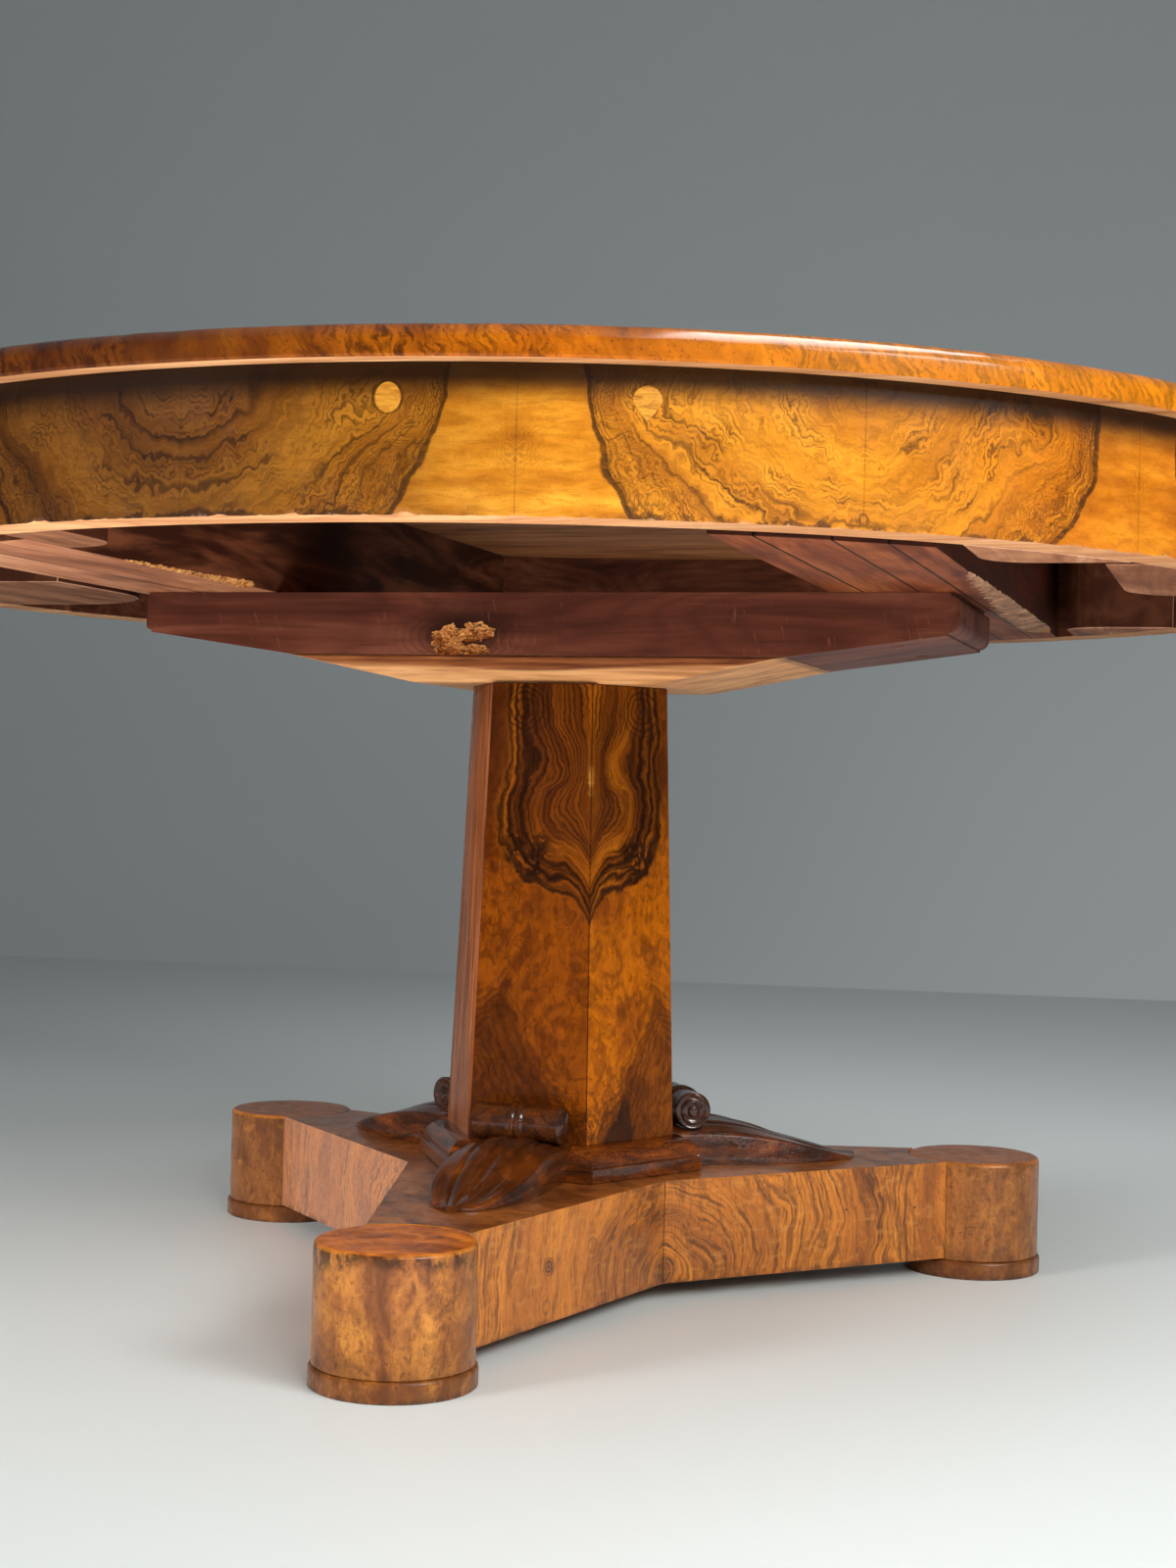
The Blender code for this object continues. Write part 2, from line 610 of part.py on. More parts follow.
def add_screws(table, block, bearers):
    """Four screws up through the block, two into each bearer."""
    seat = turned_mesh("screw_seat", screw_profile(FIT, BLOCK_THICKNESS))
    for side, side_name in ((-1, "left"), (1, "right")):
        for depth, depth_name in ((-1, "front"), (1, "back")):
            name = f"{depth_name}_{side_name}"
            place = (side * SCREW_X, BLOCK_SETBACK + depth * SCREW_SETOUT, SCREW_BOTTOM)
            screw = add_part(
                f"block_screw_{name}", turned_mesh("block_screw", screw_profile(0.0, 0.0)), IRON, table)
            hole = add_cutter(f"screw_seat_{name}", seat, table)
            for piece in (screw, hole):
                piece.location = place
                turn_on_axis(piece, 16)
            boolean(block, hole)
            boolean(bearers[side], hole)


def add_bearers(table):
    """Two bearers of boards side by side; returns the board on each side that takes the screws."""
    swing = FRIEZE_INNER * INSIDE_FACETS - FIT - BEARER_FRONT_GAP / 2
    ends_mesh = disc_mesh("bearer_ends", swing, BASE_HEIGHT, TABLE_HEIGHT)
    ends = add_cutter("bearer_ends", ends_mesh, table)
    ends.location.y = BEARER_FRONT_GAP / 2
    lines = [BEARER_INNER]
    for width in (BEARER_STRIP, BEARER_MIDDLE_BOARD, BEARER_OUTER_BOARD):
        lines.append(lines[-1] + width)
    strip, inner, outer, end = lines
    right = (("right_strip", strip, inner), ("right_inner", inner, outer), ("right_outer", outer, end))
    left = (("left_inner", strip, outer), ("left_outer", outer, end))
    screwed = {}
    for side, boards in ((1, right), (-1, left)):
        for name, near, far in boards:
            edges = sorted((side * near, side * (far - FIT)))
            low = (edges[0], -FRIEZE_INNER, FRIEZE_BOTTOM)
            high = (edges[1], FRIEZE_INNER, TOP_UNDERSIDE - FIT)
            board = add_part(f"bearer_{name}", box_mesh("bearer", low, high), STAINED_BEECH, table)
            boolean(board, ends, "INTERSECT")
            if near < SCREW_X < far:
                screwed[side] = board
    return screwed


BEARER_OUTER = BEARER_INNER + BEARER_STRIP + BEARER_MIDDLE_BOARD + BEARER_OUTER_BOARD


def add_glue_blocks(table):
    """Blocks glued inside the frieze, cut to its curve, their free ends rounded."""
    bore = FRIEZE_INNER * INSIDE_FACETS - FIT
    curve = add_cutter("frieze_curve", disc_mesh("frieze_curve", bore, BASE_HEIGHT, TABLE_HEIGHT), table)
    inner_side = BEARER_INNER - FIT
    outer_side = BEARER_OUTER + FIT
    corner_wall = math.sqrt(bore ** 2 - inner_side ** 2)
    corner_end = corner_wall - CORNER_BLOCK_LENGTH
    corner_free = inner_side - CORNER_BLOCK_WIDTH
    corner = [(-inner_side, -FRIEZE_INNER, 0), (-corner_free, -FRIEZE_INNER, 0),
              (-corner_free, -corner_end, CORNER_BLOCK_ROUNDING), (-inner_side, -corner_end, 0)]
    right_free = FRIEZE_INNER - RIGHT_BLOCK_DEPTH
    right_front = FRIEZE_INNER * math.sin(math.radians(RIGHT_BLOCK_FRONT_ANGLE))
    right_back = FRIEZE_INNER * math.sin(math.radians(RIGHT_BLOCK_BACK_ANGLE))
    right = [(right_free, -right_front, 0), (FRIEZE_INNER, -right_front, 0),
             (FRIEZE_INNER, -right_back, 0), (right_free, -right_back, RIGHT_BLOCK_ROUNDING)]
    outer_free = outer_side + OUTER_BLOCK_OFFSET
    outer_end = right_front + OUTER_BLOCK_SPACING
    outer = [(outer_free, -FRIEZE_INNER, 0), (FRIEZE_INNER, -FRIEZE_INNER, 0),
             (FRIEZE_INNER, -outer_end, 0), (outer_free, -outer_end, OUTER_BLOCK_ROUNDING)]
    left_free = outer_side + LEFT_BLOCK_OFFSET
    left_front = FRIEZE_INNER * math.sin(math.radians(LEFT_BLOCK_FRONT_ANGLE))
    left_back = FRIEZE_INNER * math.sin(math.radians(LEFT_BLOCK_BACK_ANGLE))
    left = [(-left_free, -left_front, 0), (-left_free, -left_back, LEFT_BLOCK_ROUNDING),
            (-FRIEZE_INNER, -left_back, 0), (-FRIEZE_INNER, -left_front, 0)]
    blocks = {
        "front_left": corner,
        "front_right": outer,
        "back_right": [(x, -y, radius) for x, y, radius in reversed(outer)],
        "side_right": right,
        "side_left": left,
    }
    for name, points in blocks.items():
        mesh = outline_mesh("glue_block", rounded(points), FRIEZE_BOTTOM, TOP_UNDERSIDE - FIT)
        block = add_part(f"glue_block_{name}", mesh, SOFTWOOD, table)
        boolean(block, curve, "INTERSECT")


def add_frieze(table):
    """Curved frieze segments, and two round plugs let into the face of one of them."""
    top = TOP_UNDERSIDE - FIT
    section = [(FRIEZE_INNER, FRIEZE_BOTTOM), (FRIEZE_RADIUS, FRIEZE_BOTTOM)]
    section += [(FRIEZE_RADIUS, top), (FRIEZE_INNER, top)]
    pitch = math.tau / FRIEZE_COUNT
    joint_gap = FIT / FRIEZE_INNER
    first_joint = math.radians(FRIEZE_JOINT_ANGLE)
    segments = []
    for index in range(FRIEZE_COUNT):
        start = first_joint + pitch * (index - 1)
        mesh = spun_mesh("frieze_segment", section, start, pitch - joint_gap, ROUND_FACETS // FRIEZE_COUNT)
        segments.append(add_part(f"frieze_segment_{index + 1}", mesh, FRIEZE_WALNUT, table))
    for name, degrees in (("left", PLUG_LEFT_ANGLE), ("right", PLUG_RIGHT_ANGLE)):
        face = FRIEZE_RADIUS * INSIDE_FACETS
        axis = add_axis(f"plug_axis_{name}", math.radians(degrees), table)
        length = PLUG_DEPTH
        plug_mesh = disc_mesh("frieze_plug", PLUG_RADIUS, -length, 0.0, TURNED_FACETS)
        plug = add_part(f"frieze_plug_{name}", plug_mesh, PLUG_WOOD, axis)
        hole_radius = (PLUG_RADIUS + FIT) / INSIDE_TURNED
        hole_mesh = disc_mesh("plug_hole", hole_radius, -length - FIT, length, TURNED_FACETS)
        hole = add_cutter(f"plug_hole_{name}", hole_mesh, axis)
        for piece in (plug, hole):
            piece.location = (0.0, -face, top - PLUG_DROP)
            piece.rotation_euler.x = math.pi / 2
        turned = (math.radians(degrees) - first_joint) % math.tau
        boolean(segments[(int(turned / pitch) + 1) % FRIEZE_COUNT], hole)


def add_top(table):
    """Boards across the bearers, lipping all round with a rounded arris, and the face veneer."""
    core_radius = LIPPING_INNER * INSIDE_FACETS - FIT
    board_top = TABLE_HEIGHT - VENEER_THICKNESS - FIT
    width = 2 * core_radius / TOP_BOARD_COUNT
    steps = 10
    for index in range(TOP_BOARD_COUNT):
        front = -core_radius + width * index + (FIT / 2 if index > 0 else 0.0)
        back = -core_radius + width * (index + 1) - (FIT / 2 if index < TOP_BOARD_COUNT - 1 else 0.0)
        first = math.asin(max(front / core_radius, -1.0))
        last = math.asin(min(back / core_radius, 1.0))
        angles = [first + (last - first) * step / steps for step in range(steps + 1)]
        ends = [(core_radius * math.cos(angle), core_radius * math.sin(angle)) for angle in angles]
        outline = ends + [(-x, y) for x, y in reversed(ends) if x > FIT]
        mesh = outline_mesh("top_board", outline, TOP_UNDERSIDE, board_top)
        add_part(f"top_board_{index + 1}", mesh, SOFTWOOD, table)
    section = [(LIPPING_INNER, TABLE_HEIGHT), (LIPPING_INNER, TOP_UNDERSIDE)]
    section.append((TOP_RADIUS - TOP_LOWER_CHAMFER, TOP_UNDERSIDE))
    section.append((TOP_RADIUS, TOP_UNDERSIDE + TOP_LOWER_CHAMFER))
    section += list(reversed(quarter_round(TOP_RADIUS, TABLE_HEIGHT, TOP_ROUNDING, 5)))
    pitch = math.tau / LIPPING_COUNT
    joint_gap = FIT / LIPPING_INNER
    for index in range(LIPPING_COUNT):
        mesh = spun_mesh(
            "top_lipping", section, pitch * index, pitch - joint_gap, ROUND_FACETS // LIPPING_COUNT)
        add_part(f"top_lipping_{index + 1}", mesh, TOP_WALNUT, table)
    veneer = disc_mesh("top_veneer", core_radius, TABLE_HEIGHT - VENEER_THICKNESS, TABLE_HEIGHT)
    add_part("top_veneer", veneer, TOP_WALNUT, table)


def main():
    table = add_axis("table_axis")
    add_base(table)
    add_collars(table)
    add_column(table)
    block = add_block(table)
    bearers = add_bearers(table)
    add_screws(table, block, bearers)
    add_glue_blocks(table)
    add_frieze(table)
    add_top(table)


main()
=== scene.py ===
"""Looks of the walnut centre table: veneers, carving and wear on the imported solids."""
import json
from math import atan2, cos, degrees, exp, pi, radians, sin, sqrt

import bmesh
import bpy
import numpy as np
from mathutils import Matrix, Vector, noise

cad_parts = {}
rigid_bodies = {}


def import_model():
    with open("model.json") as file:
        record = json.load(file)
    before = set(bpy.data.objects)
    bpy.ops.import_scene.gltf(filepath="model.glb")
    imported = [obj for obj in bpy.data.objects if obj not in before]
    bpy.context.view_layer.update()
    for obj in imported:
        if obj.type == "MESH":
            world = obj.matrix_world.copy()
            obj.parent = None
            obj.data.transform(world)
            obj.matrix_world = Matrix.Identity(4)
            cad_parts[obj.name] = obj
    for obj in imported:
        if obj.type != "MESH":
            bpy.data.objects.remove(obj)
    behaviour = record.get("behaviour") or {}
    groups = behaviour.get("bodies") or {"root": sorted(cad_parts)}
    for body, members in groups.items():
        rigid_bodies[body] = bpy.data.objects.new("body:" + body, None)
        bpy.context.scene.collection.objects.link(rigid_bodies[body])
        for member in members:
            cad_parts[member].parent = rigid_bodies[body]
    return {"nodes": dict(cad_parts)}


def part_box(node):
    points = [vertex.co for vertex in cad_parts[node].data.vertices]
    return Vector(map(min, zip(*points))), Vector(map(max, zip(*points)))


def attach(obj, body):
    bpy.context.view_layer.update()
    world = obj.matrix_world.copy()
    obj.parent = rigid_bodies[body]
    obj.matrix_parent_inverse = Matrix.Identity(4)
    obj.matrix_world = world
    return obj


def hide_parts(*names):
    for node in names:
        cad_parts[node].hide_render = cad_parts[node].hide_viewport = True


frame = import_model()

NODES = frame["nodes"]
for left_over in list(bpy.data.objects):
    if left_over.type in ("LIGHT", "CAMERA") or (left_over.type == "MESH" and left_over.name not in NODES):
        bpy.data.objects.remove(left_over, do_unlink=True)
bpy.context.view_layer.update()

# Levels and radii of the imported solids, in metres
RING_TOP = 0.017
RING_RADIUS = 0.0663
DRUM_RADIUS = 0.064
ARM_BOTTOM = 0.0187
COLUMN_BOTTOM = 0.1123
COLUMN_HEIGHT = 0.4486
FRIEZE_BOTTOM = 0.644
FRIEZE_HEIGHT = 0.1022
FRIEZE_OUTER = 0.680
FRIEZE_INNER = 0.640
TOP_RADIUS = 0.700
TOP_LEVEL = 0.770
TOP_UNDERSIDE = 0.7465
LIPPING_INNER = 0.6702
EDGE_ROUND = 0.013
SHEET_TURN = 20.0  # degrees of the frieze that one veneer sheet covers
SHEET_SEAM = 13.7  # degrees from the front to a seam between plain sheet sides
SHEET_WIDTH = radians(SHEET_TURN) * FRIEZE_OUTER
WEDGE_TURN = 22.5  # degrees of one wedge of the top's veneer
WEDGE_SEAM = 20.4
SHADED_SIDE = -64.0  # degrees towards the side painted darker, as painted shade
PLAIN_SIDE = -60.0  # degrees towards the side with the plainer sheets
PLUG_LEFT, PLUG_RIGHT = 6.4, 21.0  # degrees from the front
PLUG_LEVEL = 0.7227
ARCH_LEVEL = 0.473  # middle of the dark arches on the column
CORNER_REACH = 0.0717  # of the base's inner corners, along the arms
FOOT_DISTANCE = 0.4233
TURNS = [radians(angle) for angle in (0, 120, 240)]
FOOT_NAMES = ("front", "right", "left")
PART_TURN = radians(17.02)  # of camera and stage about the table


def rgb(red, green, blue):
    """Linear colour from sRGB values of 0 to 255."""
    def linear(value):
        share = value / 255
        return share / 12.92 if share <= 0.04045 else ((share + 0.055) / 1.055) ** 2.4
    return (linear(red), linear(green), linear(blue), 1.0)


class Sock:
    """Output of a shader node; arithmetic on it adds Math nodes."""

    def __init__(self, graph, socket):
        self.graph = graph
        self.socket = socket

    def __add__(self, other):
        return self.graph.math("ADD", self, other)

    def __sub__(self, other):
        return self.graph.math("SUBTRACT", self, other)

    def __rsub__(self, other):
        return self.graph.math("SUBTRACT", other, self)

    def __mul__(self, other):
        return self.graph.math("MULTIPLY", self, other)

    def __truediv__(self, other):
        return self.graph.math("DIVIDE", self, other)

    def __neg__(self):
        return self.graph.math("MULTIPLY", self, -1.0)

    def __abs__(self):
        return self.graph.math("ABSOLUTE", self)

    __radd__ = __add__
    __rmul__ = __mul__


class Graph:
    """A material and the nodes that feed its Principled shader."""

    def __init__(self, name, coat=0.0, coat_roughness=0.1, specular=0.5):
        self.material = bpy.data.materials.new(name)
        self.material.use_nodes = True
        self.tree = self.material.node_tree
        self.shader = self.tree.nodes["Principled BSDF"]
        self.shader.inputs["Coat Weight"].default_value = coat
        self.shader.inputs["Coat Roughness"].default_value = coat_roughness
        self.shader.inputs["Specular IOR Level"].default_value = specular

    def node(self, kind):
        return self.tree.nodes.new("ShaderNode" + kind)

    def put(self, socket, value):
        if isinstance(value, Sock):
            self.tree.links.new(value.socket, socket)
        else:
            socket.default_value = value

    def math(self, operation, first, second=0.0):
        node = self.node("Math")
        node.operation = operation
        self.put(node.inputs[0], first)
        self.put(node.inputs[1], second)
        return Sock(self, node.outputs[0])

    def split(self, kind, output):
        node = self.node("SeparateXYZ")
        self.tree.links.new(self.node(kind).outputs[output], node.inputs[0])
        return [Sock(self, out) for out in node.outputs]

    def xyz(self):
        return self.split("TexCoord", "Object")

    def normal(self):
        return self.split("NewGeometry", "Normal")

    def vector(self, x, y, z=0.0):
        node = self.node("CombineXYZ")
        for socket, value in zip(node.inputs, (x, y, z)):
            self.put(socket, value)
        return Sock(self, node.outputs[0])

    def place(self, node, place):
        """Feeds a texture with a vector, given as one or by its parts."""
        self.put(node.inputs["Vector"], place if isinstance(place, Sock) else self.vector(*place))

    def noise(self, place, scale, detail=2.0, roughness=0.5, distortion=0.0):
        node = self.node("TexNoise")
        self.place(node, place)
        for key, value in (("Scale", scale), ("Detail", detail), ("Roughness", roughness),
                           ("Distortion", distortion)):
            node.inputs[key].default_value = value
        return Sock(self, node.outputs[0])

    def cells(self, place, scale):
        node = self.node("TexVoronoi")
        self.place(node, place)
        node.inputs["Scale"].default_value = scale
        return Sock(self, node.outputs["Distance"])

    def step(self, value, low, high):
        """Smooth step from 0 at low to 1 at high; low may be the larger."""
        node = self.node("MapRange")
        node.interpolation_type = "SMOOTHSTEP"
        for socket, item in zip(node.inputs[:3], (value, low, high)):
            self.put(socket, item)
        return Sock(self, node.outputs[0])

    def curve(self, value, points):
        node = self.node("FloatCurve")
        self.put(node.inputs["Value"], value)
        line = node.mapping.curves[0]
        for index, point in enumerate(points):
            if index < 2:
                line.points[index].location = point
            else:
                line.points.new(*point)
        node.mapping.update()
        return Sock(self, node.outputs[0])

    def ramp(self, value, *stops):
        """Colour ramp; each stop is its position and an sRGB colour, the two ends first."""
        node = self.node("ValToRGB")
        self.put(node.inputs[0], value)
        elements = node.color_ramp.elements
        for index, (position, *tint) in enumerate(stops):
            element = elements[index] if index < 2 else elements.new(position)
            element.position = position
            element.color = rgb(*tint)
        return Sock(self, node.outputs[0])

    def mix(self, share, first, second, blend="MIX"):
        node = self.node("Mix")
        node.data_type = "RGBA"
        node.blend_type = blend
        self.put(node.inputs["Factor"], share)
        self.put(node.inputs[6], first)
        self.put(node.inputs[7], second)
        return Sock(self, node.outputs[2])

    def layers(self, colour, *layers):
        """Colour under layers, each its share and an sRGB colour."""
        for share, *tint in layers:
            colour = self.mix(share, colour, rgb(*tint))
        return colour

    def lines(self, field, spacing, sharpness):
        """1 on growth lines that follow the field, 0 between them."""
        wave = self.math("SINE", field * (2 * pi / spacing)) * 0.5 + 0.5
        return self.math("POWER", wave, sharpness)

    def rings(self, field, along, drift, scale, low, high):
        """Uneven growth rings that follow the field and change slowly along it."""
        return self.step(self.noise((field, along * 0.07, drift), scale, 3, 0.62), low, high)

    def turn(self, x, y):
        """Degrees round the column, from the front towards +X."""
        return self.math("ARCTAN2", x, -y) * (180 / pi)

    def toward(self, turn, angle):
        """1 on the side of the table at the angle, -1 on the far side."""
        return self.math("COSINE", (turn - angle) * (pi / 180))

    def reach(self, x, y):
        """Distance from the column's axis along the nearest arm."""
        first, *others = [x * sin(turn) - y * cos(turn) for turn in TURNS]
        for other in others:
            first = self.math("MAXIMUM", first, other)
        return first

    def length(self, first, second):
        return self.math("SQRT", first * first + second * second)

    def finish(self, colour, roughness, height=None, depth=0.0002):
        self.put(self.shader.inputs["Base Color"], colour)
        self.put(self.shader.inputs["Roughness"], roughness)
        if height is not None:
            bump = self.node("Bump")
            bump.inputs["Distance"].default_value = depth
            self.put(bump.inputs["Height"], height)
            self.tree.links.new(bump.outputs[0], self.shader.inputs["Normal"])
        return self.material


def frieze_material():
    """Book-matched sheets: a plain golden middle at one seam, nested wavy arcs at the next."""
    g = Graph("frieze_walnut", coat=0.06, coat_roughness=0.15, specular=0.25)
    x, y, z = g.xyz()
    turn = g.turn(x, y)
    share = g.math("PINGPONG", (turn - SHEET_SEAM) / SHEET_TURN, 1.0)
    from_plain = share * SHEET_WIDTH
    from_arcs = SHEET_WIDTH - from_plain
    up = z - FRIEZE_BOTTOM
    drop = FRIEZE_HEIGHT - up
    drift = (x + y) * 0.1
    place = g.vector(from_arcs, up, drift)
    slow = g.noise(place, 12, 2) - 0.5
    wavy = g.noise(place, 46, 3, 0.6) - 0.5
    jagged = g.noise(place, 150, 3, 0.6) - 0.5
    scallop = abs(g.noise((from_arcs, up * 0.6, drift), 62, 2) - 0.5)
    knot = g.step(g.length(from_arcs - 0.15, up - 0.079), 0.042, 0.006)
    broad = g.length(from_arcs, drop * 1.135) + slow * 0.04 - knot * 0.03
    field = broad + wavy * 0.016 + scallop * 0.034 + jagged * 0.006
    border = broad + wavy * 0.008
    along = from_plain - drop
    plain = g.step(border, 0.1935, 0.195)
    figured = 1.0 - plain
    bands = g.noise((field, along * 0.1, drift), 30, 2)
    tone = g.ramp(bands, (0.28, 148, 85, 15), (0.74, 226, 149, 37), (0.42, 190, 116, 24),
                  (0.54, 210, 133, 29))
    golden = g.ramp(g.noise((from_arcs * 0.5, up * 1.8, drift), 30, 4, 0.6), (0.3, 156, 87, 13),
                    (0.72, 232, 160, 47), (0.5, 202, 126, 26))
    tone = g.mix(plain, tone, golden)
    bundles = g.step(g.noise((field, along * 0.16, drift + 5.0), 36, 2), 0.36, 0.56)
    broken = g.step(g.noise(place, 34, 2), 0.38, 0.6) * 0.75 + 0.25
    fine = g.lines(field + jagged * 0.005, 0.0052, 3.2) * (bundles * 0.8 + 0.2) * broken * figured
    thin = g.rings(field, along, drift, 260, 0.48, 0.6) * figured
    bold = g.lines(field + slow * 0.02, 0.019, 9.0) * g.step(g.noise(place, 17, 2), 0.42, 0.58) * figured
    swirl_zone = g.step(field, 0.142, 0.17) * figured
    hills = g.noise(place, 26, 3, 0.55, 1.8)
    swirl = g.lines(hills, 0.058, 3.5) * swirl_zone
    strands = g.lines(border + wavy * 0.006, 0.0054, 1.8) * g.step(border, 0.172, 0.19) * figured
    vein = g.step(abs(border - 0.1945 + jagged * 0.002), 0.003, 0.0012)
    flame = g.length(from_plain * 1.3, up - 0.048)
    feather = up - from_plain * 1.7 + wavy * 0.06
    flame_lines = g.lines(feather, 0.0058, 2.0) * g.step(flame, 0.03, 0.002)
    ripple = g.noise((from_arcs * 0.6, up * 2.2, drift), 90, 4, 0.65, 0.8)
    away = g.length((turn - PLUG_LEFT) * (pi / 180 * FRIEZE_OUTER), z - PLUG_LEVEL)
    joint = g.step(abs(away - 0.0104), 0.0014, 0.0004)
    pores = g.noise((from_arcs, up * 1.4, drift), 620, 2)
    blotch = g.noise((x, y, z * 1.6), 8, 3)
    seam = g.step(g.math("MINIMUM", from_arcs, from_plain), 0.0008, 0.0002)
    worn = g.noise((x, y, z * 1.2), 36, 4, 0.65)
    chips = g.step(worn - up * 20.0, 0.47, 0.55)
    raw = g.step(worn - up * 20.0, 0.6, 0.66)
    # Painted shade: darker on the side away from the light, towards -64 degrees.
    side_shade = g.step(g.toward(turn, SHADED_SIDE), 0.1, 0.56)
    colour = g.layers(tone,
        (fine * 0.8, 84, 44, 8),
        (thin * 0.3, 92, 50, 10),
        (bold * 0.75, 54, 28, 8),
        (swirl_zone * g.step(hills, 0.44, 0.6) * 0.42, 158, 88, 16),
        (swirl * 0.62, 58, 30, 7),
        (strands * 0.55, 60, 32, 8),
        (vein * 0.88, 50, 27, 8),
        (flame_lines * 0.62, 136, 76, 10),
        (g.step(ripple, 0.46, 0.66) * 0.42, 156, 92, 12),
        (joint * 0.5, 54, 29, 8),
        (g.step(pores, 0.52, 0.7) * 0.2, 80, 45, 10),
        (g.step(blotch, 0.46, 0.7) * 0.26, 96, 54, 10),
        (seam * 0.3, 96, 56, 18),
        (chips * (figured * 0.55 + 0.2), 70, 38, 10),
        (raw * 0.7, 206, 166, 116))
    # Painted shade on the side away from the light.
    colour = g.mix(side_shade, colour, (0.27, 0.26, 0.52, 1.0), "MULTIPLY")
    sunny = g.step(turn, 36.0, 48.0) * 0.8
    colour = g.mix(sunny, colour, (0.84, 0.68, 0.4, 1.0), "MULTIPLY")
    # Painted shadow: the top of the frieze darkened where the overhang of the top shades it.
    overhang_shadow = g.step(drop, 0.031, 0.008) * 0.95
    roughness = g.step(g.noise(place, 30, 3), 0.3, 0.8) * 0.16 + 0.28 + chips * 0.2
    height = pores * 0.4 + fine * -0.3 + seam * -1.0 + g.noise(place, 25, 1) * 1.2
    # Painted shadow under the overhang, laid over the rest.
    colour = g.layers(colour, (overhang_shadow, 26, 12, 4))
    return g.finish(colour, roughness, height, 0.00018)


def top_material():
    """Burr edge of the top and its face, veneered in book-matched wedges."""
    g = Graph("top_walnut", coat_roughness=0.16, specular=0.1)
    g.shader.inputs["Coat IOR"].default_value = 2.2
    x, y, z = g.xyz()
    turn = g.turn(x, y)
    radius = g.length(x, y)
    wedge = g.math("PINGPONG", (turn - WEDGE_SEAM) / WEDGE_TURN, 1.0)
    across = wedge * radius * radians(WEDGE_TURN)
    face = g.step(radius, 0.671, 0.6695)
    g.put(g.shader.inputs["Coat Weight"], g.step(z, 0.758, 0.766) * (0.9 - face * 0.7))
    drift = (x - y) * 0.35
    edge_run = turn * (pi / 180 * TOP_RADIUS)
    warp = g.noise((x, y, z * 1.5), 13, 2) - 0.5
    curl = g.noise((x, y, z * 1.4), 44, 3, 0.55) - 0.5
    flow = edge_run + (z - 0.755) * 0.4 + warp * 0.036 + curl * 0.017
    patchy = g.noise((x, y, z * 0.5), 7, 2)
    lively = g.step(patchy, 0.34, 0.56)
    tone = g.ramp(g.noise((flow, z * 0.6, 0.0), 20, 3, 0.6), (0.28, 94, 41, 8), (0.74, 222, 128, 14),
                  (0.42, 150, 75, 10), (0.55, 190, 101, 11))
    streaks = g.noise((flow, z * 0.35, 4.0), 170, 3, 0.62)
    bold = g.noise((flow, z * 0.4, 9.0), 46, 3, 0.6)
    veins = g.lines(flow, 0.0062, 3.0) * g.step(bold, 0.42, 0.54)
    mottle = g.noise((x, y, z * 1.6), 90, 3, 0.6)
    pits = g.step(g.cells((x, y, z), 130), 0.16, 0.06)
    # Painted shade: the edge darker on the side away from the light.
    side_shade = g.step(g.toward(turn, SHADED_SIDE), 0.14, 0.6)
    slow = g.noise((across, radius, drift), 5, 2) - 0.5
    wavy = g.noise((across, radius, drift), 24, 3, 0.55) - 0.5
    field = g.length(across - 0.02, (0.62 - radius) * 0.55) + slow * 0.11 + wavy * 0.035
    bands = g.noise((field, radius * 0.1, drift), 22, 2)
    wood = g.ramp(bands, (0.28, 96, 52, 18), (0.74, 196, 124, 42), (0.45, 156, 92, 30),
                  (0.55, 176, 108, 36))
    edge = g.layers(tone,
        (g.step(streaks, 0.48, 0.6) * (lively * 0.62 + 0.16), 66, 28, 5),
        (g.step(bold, 0.56, 0.64) * lively * 0.62, 56, 24, 5),
        (veins * (lively * 0.45 + 0.06), 64, 27, 5),
        (g.step(mottle, 0.5, 0.7) * 0.35, 160, 80, 8),
        (pits * 0.55, 60, 28, 10),
        # painted light: lighter and more orange towards the right, where the light falls
        (g.step(turn, 14.0, 34.0) * 0.24, 242, 156, 22),
        (side_shade * 0.76, 56, 26, 15))
    seam = g.step(g.math("MINIMUM", across, radius * radians(WEDGE_TURN) - across), 0.0009, 0.0003)
    wood = g.layers(wood,
        (g.rings(field, radius, drift, 120, 0.52, 0.66) * 0.6, 66, 34, 13),
        (g.rings(field, radius, drift + 3.0, 36, 0.56, 0.66) * 0.6, 54, 27, 11),
        (seam * 0.5, 50, 26, 12))
    colour = g.mix(face, edge, wood)
    pores = g.noise((x, y, z), 400, 2)
    worn = g.noise((x, y, z), 22, 4, 0.6)
    roughness = g.step(worn, 0.3, 0.8) * 0.22 + 0.28
    height = pores * 0.5 + worn * 1.6 + pits * -1.0
    colour = g.layers(colour, (g.step(pores, 0.56, 0.72) * 0.4, 60, 30, 12))
    return g.finish(colour, roughness, height, 0.0002)


